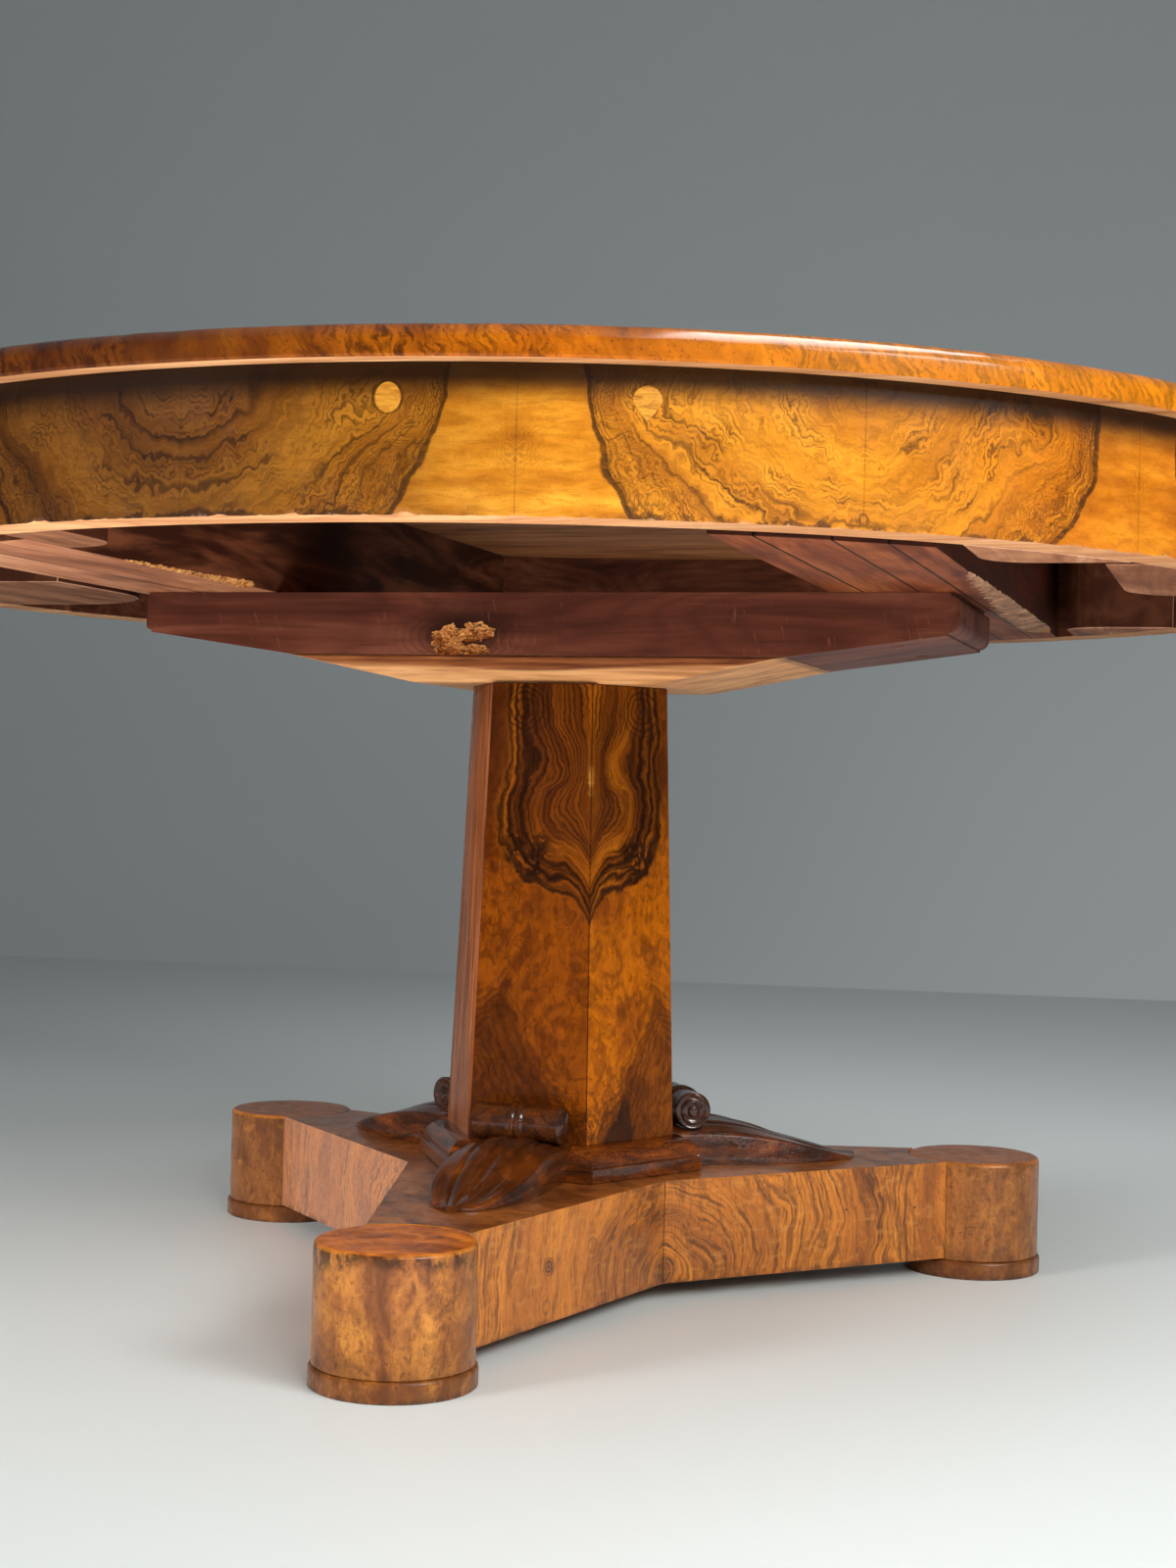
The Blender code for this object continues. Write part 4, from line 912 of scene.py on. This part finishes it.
def add_top():
    for index in range(1, 9):
        ring_piece(f"frieze_veneered_{index}", f"frieze_segment_{index}", 45.0, 150, frieze_section,
                   [FRIEZE, RIM, INSIDE], "frieze_walnut")
    for index in range(1, 5):
        ring_piece(f"top_edge_{index}", f"top_lipping_{index}", 90.0, 120, lipping_section,
                   [TOP, RIM], "top_walnut")
    low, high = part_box("top_veneer")
    rim = high.x
    steps = 256
    rows = []
    for radius, level in ((0.02, high.z), (0.3, high.z), (rim - 0.0005, high.z), (rim, high.z - 0.0005),
                          (rim, low.z), (0.02, low.z)):
        rows.append([polar(radius, 2 * pi * k / steps, level) for k in range(steps)])
    mesh = grid_mesh("top_face", rows)
    smooth(mesh)
    piece("top_face", mesh, [TOP], "top_walnut", "top_veneer")


def turned(name, node, centre, profile, dent, seed):
    """Turned piece of a foot about an upright axis, a little out of true."""
    rows = []
    steps = 96
    for radius, level in profile:
        row = []
        for k in range(steps):
            angle = 2 * pi * k / steps
            spot = Vector((cos(angle) * 2.2 + seed, sin(angle) * 2.2, level * 40))
            r = radius + dent * noise.fractal(spot, 1.0, 2.0, 3) * min(radius / 0.05, 1.0)
            row.append((centre[0] + r * cos(angle), centre[1] + r * sin(angle), level))
        rows.append(row)
    mesh = grid_mesh(name, rows)
    smooth(mesh, 40)
    piece(name, mesh, [FOOT], "foot_walnut", node)


def rounded(radius, top, size):
    """Points of a rounded upper edge."""
    return [(radius - size + size * cos(a), top - size + size * sin(a)) for a in (0.4, 0.8, 1.2, pi / 2)]


def add_feet():
    for index, (foot, turn) in enumerate(zip(FOOT_NAMES, TURNS)):
        centre = polar(FOOT_DISTANCE, turn, 0.0)
        _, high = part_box(f"foot_drum_{foot}")
        bottom, top, radius = RING_TOP + 0.0003, high.z, DRUM_RADIUS
        profile = [(0.02, bottom), (radius - 0.0008, bottom), (radius, bottom + 0.0008)]
        profile += [(radius, bottom + (top - 0.004 - bottom) * k / 12) for k in range(1, 13)]
        profile += rounded(radius, top, 0.004) + [(radius - 0.012, top), (0.02, top)]
        turned(f"foot_veneered_{foot}", f"foot_drum_{foot}", centre, profile, 0.0004, index * 7.0)
        low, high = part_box(f"foot_ring_{foot}")
        bottom, top, radius = low.z, high.z, RING_RADIUS
        profile = [(0.02, bottom), (radius - 0.0012, bottom), (radius, bottom + 0.0012),
                   (radius, bottom + 0.006), (radius, top - 0.004)]
        profile += rounded(radius, top, 0.003) + [(0.055, top), (0.02, top)]
        turned(f"foot_moulding_{foot}", f"foot_ring_{foot}", centre, profile, 0.0005, index * 7.0 + 3)


# Carved leaves and rolls, as the solids have them
LEAF_ROOT = 0.0984
LEAF_TIP = 0.296
LEAF_WIDTH = 0.089
ROLL_REACH = 0.121
ROLL_LEVEL = 0.1635
ROLL_LENGTH = 0.082
ROLL_RADIUS = 0.0172
ROLL_BEAD = 0.0190


def leaf_height(share, side):
    """Height above the base at a share of the length; side runs from -1 to 1 across."""
    fall = min(max((share - 0.18) / 0.82, 0.0), 1.0)
    crest = 0.0045 + 0.0375 * (1 + cos(pi * fall)) / 2
    flank = max(0.030 * cos(pi / 2 * fall), 0.00225)
    return flank + (crest - flank) * (1 - side * side)


def leaf_half_width(share):
    narrowing = max((share - 0.45) / 0.55, 0.0)
    return LEAF_WIDTH / 2 * max(sqrt(1 - narrowing * narrowing), 0.10)


def leaf_relief(share, side):
    """Carved relief on the leaf: two fine ridges that meet at the tip, and shallow flutes beside them."""
    spread = 0.26 * (1 - share) + 0.015
    ridge = 0.0016 * exp(-((abs(side - 0.05) - spread) / 0.040) ** 2)
    hollow = -0.0022 * exp(-(side / (spread + 0.05)) ** 2)
    hollow -= 0.0024 * exp(-((abs(side) - 0.62 + 0.20 * share) / 0.045) ** 2)
    flow = abs(side) * (0.75 + 0.45 * share)
    flute = 0.0006 * cos(flow * 13.0) * min(max((abs(side) - 0.3) / 0.3, 0.0), 1.0)
    fade = min(share / 0.15, 1.0) * min((1 - share) / 0.10, 1.0)
    return (ridge + hollow + flute * max(1 - side * side, 0.0)) * fade


def leaf_mesh(name, turn):
    rows = []
    length = LEAF_TIP - LEAF_ROOT
    count, columns = 64, 48
    for i in range(count + 1):
        share = sin(i / count * pi / 2)
        reach = LEAF_ROOT + length * share
        half = leaf_half_width(share)
        row = []
        for j in range(columns + 1):
            side = sin((j / columns - 0.5) * pi)
            height = leaf_height(share, side) + leaf_relief(share, side)
            edge = max(abs(side) - 0.93, 0.0) / 0.07
            height -= 0.0022 * edge * edge * min(height / 0.01, 1.0)
            under = ROLL_BEAD + 0.0003
            across = abs(reach - ROLL_REACH)
            if across < under:
                limit = ROLL_LEVEL - sqrt(under ** 2 - across ** 2) - COLUMN_BOTTOM
                height = min(height, limit)
            row.append((side * half, reach, COLUMN_BOTTOM + max(height, 0.0012)))
        row.append((half, reach, COLUMN_BOTTOM))
        row.append((-half, reach, COLUMN_BOTTOM))
        rows.append([spun(turn, x, -y, z) for x, y, z in row])
    mesh = grid_mesh(name, rows)
    smooth(mesh, 50)
    return mesh


def roll_mesh(name, turn):
    """Roll with two beads in the middle and a spiral carved in each end."""
    steps = 72
    angles = [2 * pi * k / steps for k in range(steps)]
    half = ROLL_LENGTH / 2
    spiral_turns = 2.6
    bead = 0.0075

    def ring(radius, along):
        return [spun(turn, x, -(ROLL_REACH + radius * cos(a)), ROLL_LEVEL + radius * sin(a))
                for a, x in zip(angles, along)]

    def end(radius, sign):
        share = radius / ROLL_RADIUS
        along = []
        for angle in angles:
            phase = (share * spiral_turns + sign * angle / (2 * pi)) % 1.0
            groove = 0.5 - 0.5 * cos(2 * pi * phase) if share >= 0.2 else 0.0
            along.append(sign * (half - 0.0017 * groove ** 0.7 + 0.0018 * (1 - share)))
        return ring(radius, along)

    def shank(offset, sign):
        flare = 0.0006 * max(0.0, 1 - abs(offset - half) / 0.012)
        return ring(ROLL_RADIUS - 0.0006 + flare, [sign * offset] * steps)

    radii = [0.0006] + [ROLL_RADIUS * k / 15 for k in range(1, 15)] + [ROLL_RADIUS - 0.0004]
    body = [half - 0.0012, half - 0.003, half - 0.006, half * 0.6, half * 0.35, 0.0088]
    rows = [end(radius, 1.0) for radius in radii] + [shank(offset, 1.0) for offset in body]
    for k in range(25):
        offset = bead - 2 * bead * k / 24
        rise = abs(sin(pi * offset / bead)) if abs(offset) < bead else 0.0
        rows.append(ring(ROLL_RADIUS - 0.0004 + (ROLL_BEAD - ROLL_RADIUS + 0.0002) * rise ** 0.7,
                         [offset] * steps))
    rows += [shank(offset, -1.0) for offset in reversed(body)]
    rows += [end(radius, -1.0) for radius in reversed(radii)]
    mesh = grid_mesh(name, rows)
    smooth(mesh, 55)
    return mesh


def collar_mesh(name, turn):
    """Moulding between two leaves: ogee shoulder over an upright band, mitred at two corners."""
    inner_top, inner_bottom = 0.1124, 0.1136
    bottom, band, top = COLUMN_BOTTOM, COLUMN_BOTTOM + 0.013, COLUMN_BOTTOM + 0.031
    outer = 0.140
    profile = [(inner_top, top), (inner_top + 0.002, top - 0.0004)]
    for k in range(1, 13):
        lean = pi / 2 * (1 - k / 12)
        profile.append((inner_top + 0.002 + (outer - 0.006 - inner_top) * cos(lean),
                        band + 0.0006 + (top - band - 0.001) * sin(lean)))
    profile += [(outer - 0.0035, band + 0.0003), (outer - 0.0008, band), (outer, band - 0.0008),
                (outer, bottom + 0.0006), (outer - 0.0006, bottom), (inner_bottom, bottom)]
    slot = LEAF_WIDTH / 2 + 0.0003
    flat = cos(radians(30))
    ends = [[spun(face, side, -radius * flat, z) for radius, z in profile]
            for face, side in ((0.0, slot), (radians(120), -slot))]
    corners = [[polar(radius, radians(angle), z) for radius, z in profile] for angle in (30, 90)]
    rows = [[spun(turn, *point) for point in row] for row in (ends[0], *corners, ends[1])]
    mesh = grid_mesh(name, rows)
    smooth(mesh, 30)
    return mesh


def add_carving():
    for foot, turn in zip(FOOT_NAMES, TURNS):
        for kind, make in (("leaf", leaf_mesh), ("roll", roll_mesh)):
            name = f"{kind}_{foot}"
            piece(name, make(name, turn), [CARVED], "carved_walnut", f"carved_{name}")
    for side, turn in zip(("right", "back", "left"), TURNS):
        name = f"collar_{side}"
        piece(name, collar_mesh(name, turn), [COLLAR], "carved_walnut", f"collar_moulding_{side}")


def soften(node, width, edge=None):
    """Eased edges on a solid that stays; edge is their own material."""
    weld = node.modifiers.new("weld", "WELD")
    weld.merge_threshold = 0.00001
    bevel = node.modifiers.new("eased_edges", "BEVEL")
    bevel.width = width
    bevel.segments = 2
    if edge:
        node.data.materials.append(edge)
        bevel.material = 1
    bevel.limit_method = "ANGLE"
    bevel.angle_limit = radians(25)
    bevel.use_clamp_overlap = True


def waney_mesh(name, edge, rows, seed):
    """Cutter for a rough right edge; rows give y, width and height of what is lost along the board."""
    columns = 16
    rows_of_points = []
    for y, width, height in rows:
        row = [(edge - width, y, FRIEZE_BOTTOM - 0.012)]
        for k in range(columns + 1):
            share = k / columns
            x = edge - (width * (1 - share) - 0.002 * share)
            spot = Vector((x * 60 + seed, y * 60, 0.0))
            rough = 0.0012 * noise.fractal(spot, 1.0, 2.0, 4)
            rough += 0.0008 * noise.fractal(spot * 4.0, 1.0, 2.0, 3)
            bulge = 0.55 * (1 - sqrt(1 - 0.98 * share * share)) + 0.45 * share
            row.append((x, y, FRIEZE_BOTTOM + height * bulge + rough * min(width / 0.008, 1.0) - 0.0008))
        row.append((row[-1][0], y, FRIEZE_BOTTOM - 0.012))
        rows_of_points.append(row)
    return grid_mesh(name, rows_of_points)


BLOCK_SPAN = (-0.16, 0.22)  # from before the block to behind it


def corner_mesh(name, corner, level, reach):
    """Cutter that rounds one end corner of the block; level and reach lead away along its two sides."""
    corner, level, reach = Vector(corner), Vector(level), Vector(reach)
    start, end = corner + level, corner + reach
    outline = [start - reach * 0.4]
    for k in range(9):
        share = k / 8
        outline.append(start * (1 - share) ** 2 + corner * 2 * share * (1 - share) + end * share ** 2)
    outline += [end - level * 0.4, corner - (level + reach) * 0.4]
    return grid_mesh(name, [[(point.x, y, point.y) for point in outline] for y in BLOCK_SPAN])


def broken_copy(node, name, cutters, width, material):
    """A copy of a solid with eased edges and rough places broken out of it."""
    source = placed(name + "_source", NODES[node].data.copy())
    source.data.materials.clear()
    source.data.materials.append(material)
    soften(source, width)
    tools = []
    for index, (mesh, lining) in enumerate(cutters):
        mesh.materials.append(lining)
        tools.append(placed(f"{name}_tool_{index}", mesh))
        cut = source.modifiers.new(f"break_{index}", "BOOLEAN")
        cut.object = tools[-1]
        cut.operation = "DIFFERENCE"
        cut.solver = "EXACT"
        cut.material_mode = "TRANSFER"
    graph = bpy.context.evaluated_depsgraph_get()
    mesh = bpy.data.meshes.new_from_object(source.evaluated_get(graph))
    for extra in [source, *tools]:
        bpy.data.objects.remove(extra, do_unlink=True)
    piece(name, mesh, [], "stained_beech", node)


def knot_mesh(name, shift, size, seed):
    """Rough lobe of the hollow that a loose knot left in the front of the block."""
    bm = bmesh.new()
    bmesh.ops.create_icosphere(bm, subdivisions=5, radius=1.0)
    for vert in bm.verts:
        spot = vert.co * 1.6 + Vector((seed, 0.0, 0.0))
        rough = 1.0 + 0.34 * noise.fractal(spot, 1.0, 2.0, 5) + 0.12 * noise.fractal(spot * 5, 1.0, 2.0, 4)
        flat = Vector((vert.co.x * size[0], vert.co.y * size[1], vert.co.z * size[2]))
        vert.co = flat * rough + Vector(KNOT) + Vector(shift)
    mesh = bpy.data.meshes.new(name)
    bm.to_mesh(mesh)
    bm.free()
    return mesh


def add_rough_wood():
    """Knot hollow and rounded ends of the block, rough edges on two bearers."""
    cuts = [(knot_mesh("knot_left", (-0.013, -0.001, -0.003), (0.0175, 0.013, 0.0150), 3.0), TORN),
            (knot_mesh("knot_right", (0.016, -0.001, 0.006), (0.0180, 0.010, 0.0085), 8.0), TORN),
            (knot_mesh("knot_low", (0.013, -0.001, -0.010), (0.0140, 0.008, 0.0050), 13.0), TORN)]
    points = [vert.co for vert in NODES["block_upper_board"].data.vertices]
    for side, inward in (("left", 1.0), ("right", -1.0)):
        end = min(points, key=lambda co: co.x * inward).x
        low = min(co.z for co in points if abs(co.x - end) < 0.001)
        high = max(co.z for co in points if abs(co.x - end) < 0.001)
        slope = Vector((0.0098 * inward, -0.0019))
        level = Vector((0.007 * inward, 0.0))
        for mesh in (corner_mesh(f"corner_low_{side}", (end, low), slope, (0.0, 0.009)),
                     corner_mesh(f"corner_high_{side}", (end, high), level, (0.0, -0.007))):
            cuts.append((mesh, BLOCK_DARK))
    broken_copy("block_upper_board", "block_board", cuts, 0.0018, BLOCK_DARK)
    right = []
    for k in range(141):
        y = -0.290 + 0.70 * k / 140
        first = 0.018 * min(max((y + 0.285) / 0.15, 0.0), 1.0) ** 0.7
        second = 0.024 + 0.008 * min(max(y / 0.2, 0.0), 1.0) + 0.002 * sin(y * 40)
        width = first if y < -0.064 else second
        notch = exp(-((y + 0.062) / 0.006) ** 2)
        right.append((y, max(width, 0.0006) + 0.007 * notch, 0.0025 + 0.15 * width))
    broken_copy("bearer_right_outer", "bearer_torn_right",
                [(waney_mesh("torn_right", 0.4107, right, 5.0), WANE)], 0.0012, BEARER)
    left = []
    for k in range(121):
        share = k / 120
        y = -0.400 + 0.262 * share
        ragged = 0.5 + 0.5 * noise.noise(Vector((y * 130, 4.0, 0.0)))
        spread = 0.003 + 0.006 * ragged + 0.014 * max((share - 0.60) / 0.40, 0.0) ** 1.3
        width = spread * min(share / 0.1, (1 - share) / 0.03, 1.0)
        left.append((y, max(width, 0.0004), 0.003 + 0.005 * share + 0.002 * ragged))
    broken_copy("bearer_left_inner", "bearer_torn_left",
                [(waney_mesh("torn_left", -0.2652, left, 11.0), TORN)], 0.0012, BEARER_LIT)


def plug_mesh(name, turn, wide, tall, pear):
    """Plug set flush in the frieze, slightly domed; pear draws its lower half out to a point."""
    rows = []
    count = 48
    for share, lift in ((0.03, 0.0005), (0.5, 0.0005), (0.85, 0.00035), (0.96, 0.0002), (1.0, -0.0003),
                        (1.0, -0.012), (0.03, -0.012)):
        row = []
        for k in range(count):
            angle = 2 * pi * k / count
            across, up = cos(angle) * wide, sin(angle) * tall
            if up < 0:
                across *= 1 + pear * up / tall
                up *= 1 + pear * 0.4
            direction = radians(turn) + across * share / FRIEZE_OUTER
            row.append(polar(FRIEZE_OUTER + lift, direction, PLUG_LEVEL + up * share))
        rows.append(row)
    mesh = grid_mesh(name, rows)
    smooth(mesh, 40)
    return mesh


def add_plugs():
    for side, *shape in (("left", PLUG_LEFT, 0.0090, 0.0105, 0.0),
                         ("right", PLUG_RIGHT, 0.0102, 0.0104, 0.62)):
        name = f"plug_{side}"
        piece(name, plug_mesh(name, *shape), [PLUG], "plug_wood", f"frieze_plug_{side}")


def dress_nodes():
    """Materials and eased edges of the solids that stay."""
    looks = {
        "base_arm": (BASE, 0.0009), "column_side": (COLUMN, 0.0009), "column_post": (SOFT, 0.0),
        "block_lower": (PALE, 0.0015), "block_screw": (IRON, 0.0), "bearer_right": (BEARER, 0.0012),
        "bearer_left": (BEARER_LIT, 0.0012), "glue_block": (SOFT, 0.0028), "top_board": (BOARD, 0.0008),
    }
    for name, node in NODES.items():
        for start, (material, width) in looks.items():
            if name.startswith(start):
                node.material_slots[0].material = material
                if width:
                    soften(node, width, EDGE if start == "glue_block" else None)


def add_camera():
    """The photo's camera, fitted to the edges in it."""
    yaw, pitch, roll = (radians(angle) for angle in (0.5172, 0.0738, 1.4032))
    forward = Vector((sin(yaw) * cos(pitch), cos(yaw) * cos(pitch), sin(pitch)))
    level = Vector((cos(yaw), -sin(yaw), 0.0))
    rise = level.cross(forward)
    right = cos(roll) * level + sin(roll) * rise
    up = -sin(roll) * level + cos(roll) * rise
    data = bpy.data.cameras.new("camera")
    data.lens = 53.68
    data.sensor_width = 36.0
    camera = placed("camera", data)
    place = Matrix((right, up, -forward)).transposed().to_4x4()
    place.translation = Vector((0.0, -2.2226, 0.4669))
    camera.matrix_world = Matrix.Rotation(PART_TURN, 4, "Z") @ place
    bpy.context.scene.camera = camera


def stage_material(name, colour, rough):
    g = Graph(name, specular=0.3)
    cloud = g.noise(g.xyz(), 1.2, 2)
    return g.finish(g.layers(rgb(*colour), (cloud * 0.05, 160, 163, 165)), rough)


def add_stage():
    """Pale floor, grey wall and soft lights, all turned with the camera."""
    def plane(name, corners, material):
        mesh = bpy.data.meshes.new(name)
        mesh.from_pydata([spun(PART_TURN, *corner) for corner in corners], [], [(0, 1, 2, 3)])
        mesh.materials.append(material)
        placed(name, mesh)

    half = 9
    right_end, left_end = 1.85, 5.15  # of the floor, which ends aslant
    right_back, left_back = right_end + 2.0, left_end + 2.0
    plane("floor", ((-half, -7, 0), (half, -7, 0), (half, right_end, 0), (-half, left_end, 0)),
          stage_material("floor", (220, 228, 228), 0.45))
    plane("backdrop", ((-half, left_back, -1.5), (half, right_back, -1.5), (half, right_back, 7),
                       (-half, left_back, 7)), stage_material("wall", (232, 239, 241), 0.8))

    def area(name, place, target, size, power, colour, glossy=True, spread=180):
        data = bpy.data.lights.new(name, "AREA")
        data.shape = "RECTANGLE"
        data.size, data.size_y = size
        data.energy = power
        data.color = colour
        data.spread = radians(spread)
        lamp = placed(name, data)
        lamp.visible_glossy = glossy
        lamp.location = Vector(spun(PART_TURN, *place))
        aim = Vector(spun(PART_TURN, *target)) - lamp.location
        lamp.rotation_euler = aim.to_track_quat("-Z", "Y").to_euler()

    warm = (1.0, 0.98, 0.96)
    area("key", (2.2, -2.35, 2.10), (0.05, -0.3, 0.45), (1.5, 1.1), 84, (1.0, 0.985, 0.955))
    area("bounce", (-0.15, -0.92, 0.03), (-0.15, -0.91, 0.8), (2.4, 0.7), 16, (1.0, 0.97, 0.93), False)
    area("low_left", (-3.0, -2.2, 1.0), (-0.95, -0.05, 0.0), (1.2, 0.6), 13.5, warm, False, 50)
    area("low_front", (0.7, -2.9, 1.2), (0.05, -0.55, 0.0), (1.2, 0.6), 3.0, warm, False, 44)
    area("fill", (-3.0, -2.0, 1.4), (0.0, 0.0, 0.3), (2.0, 2.0), 3, (0.94, 0.97, 1.0))
    area("overhead", (0.80, -1.10, 2.50), (0.80, -1.05, 0.0), (1.0, 2.2), 34, (1.0, 1.0, 1.0))

    world = bpy.data.worlds.new("studio")
    world.use_nodes = True
    background = world.node_tree.nodes["Background"]
    background.inputs["Color"].default_value = (0.92, 0.96, 1.0, 1.0)
    background.inputs["Strength"].default_value = 0.10
    bpy.context.scene.world = world


add_camera()
dress_nodes()
add_top()
add_feet()
add_carving()
add_rough_wood()
add_plugs()
add_stage()
bpy.context.scene.view_settings.view_transform = "Standard"
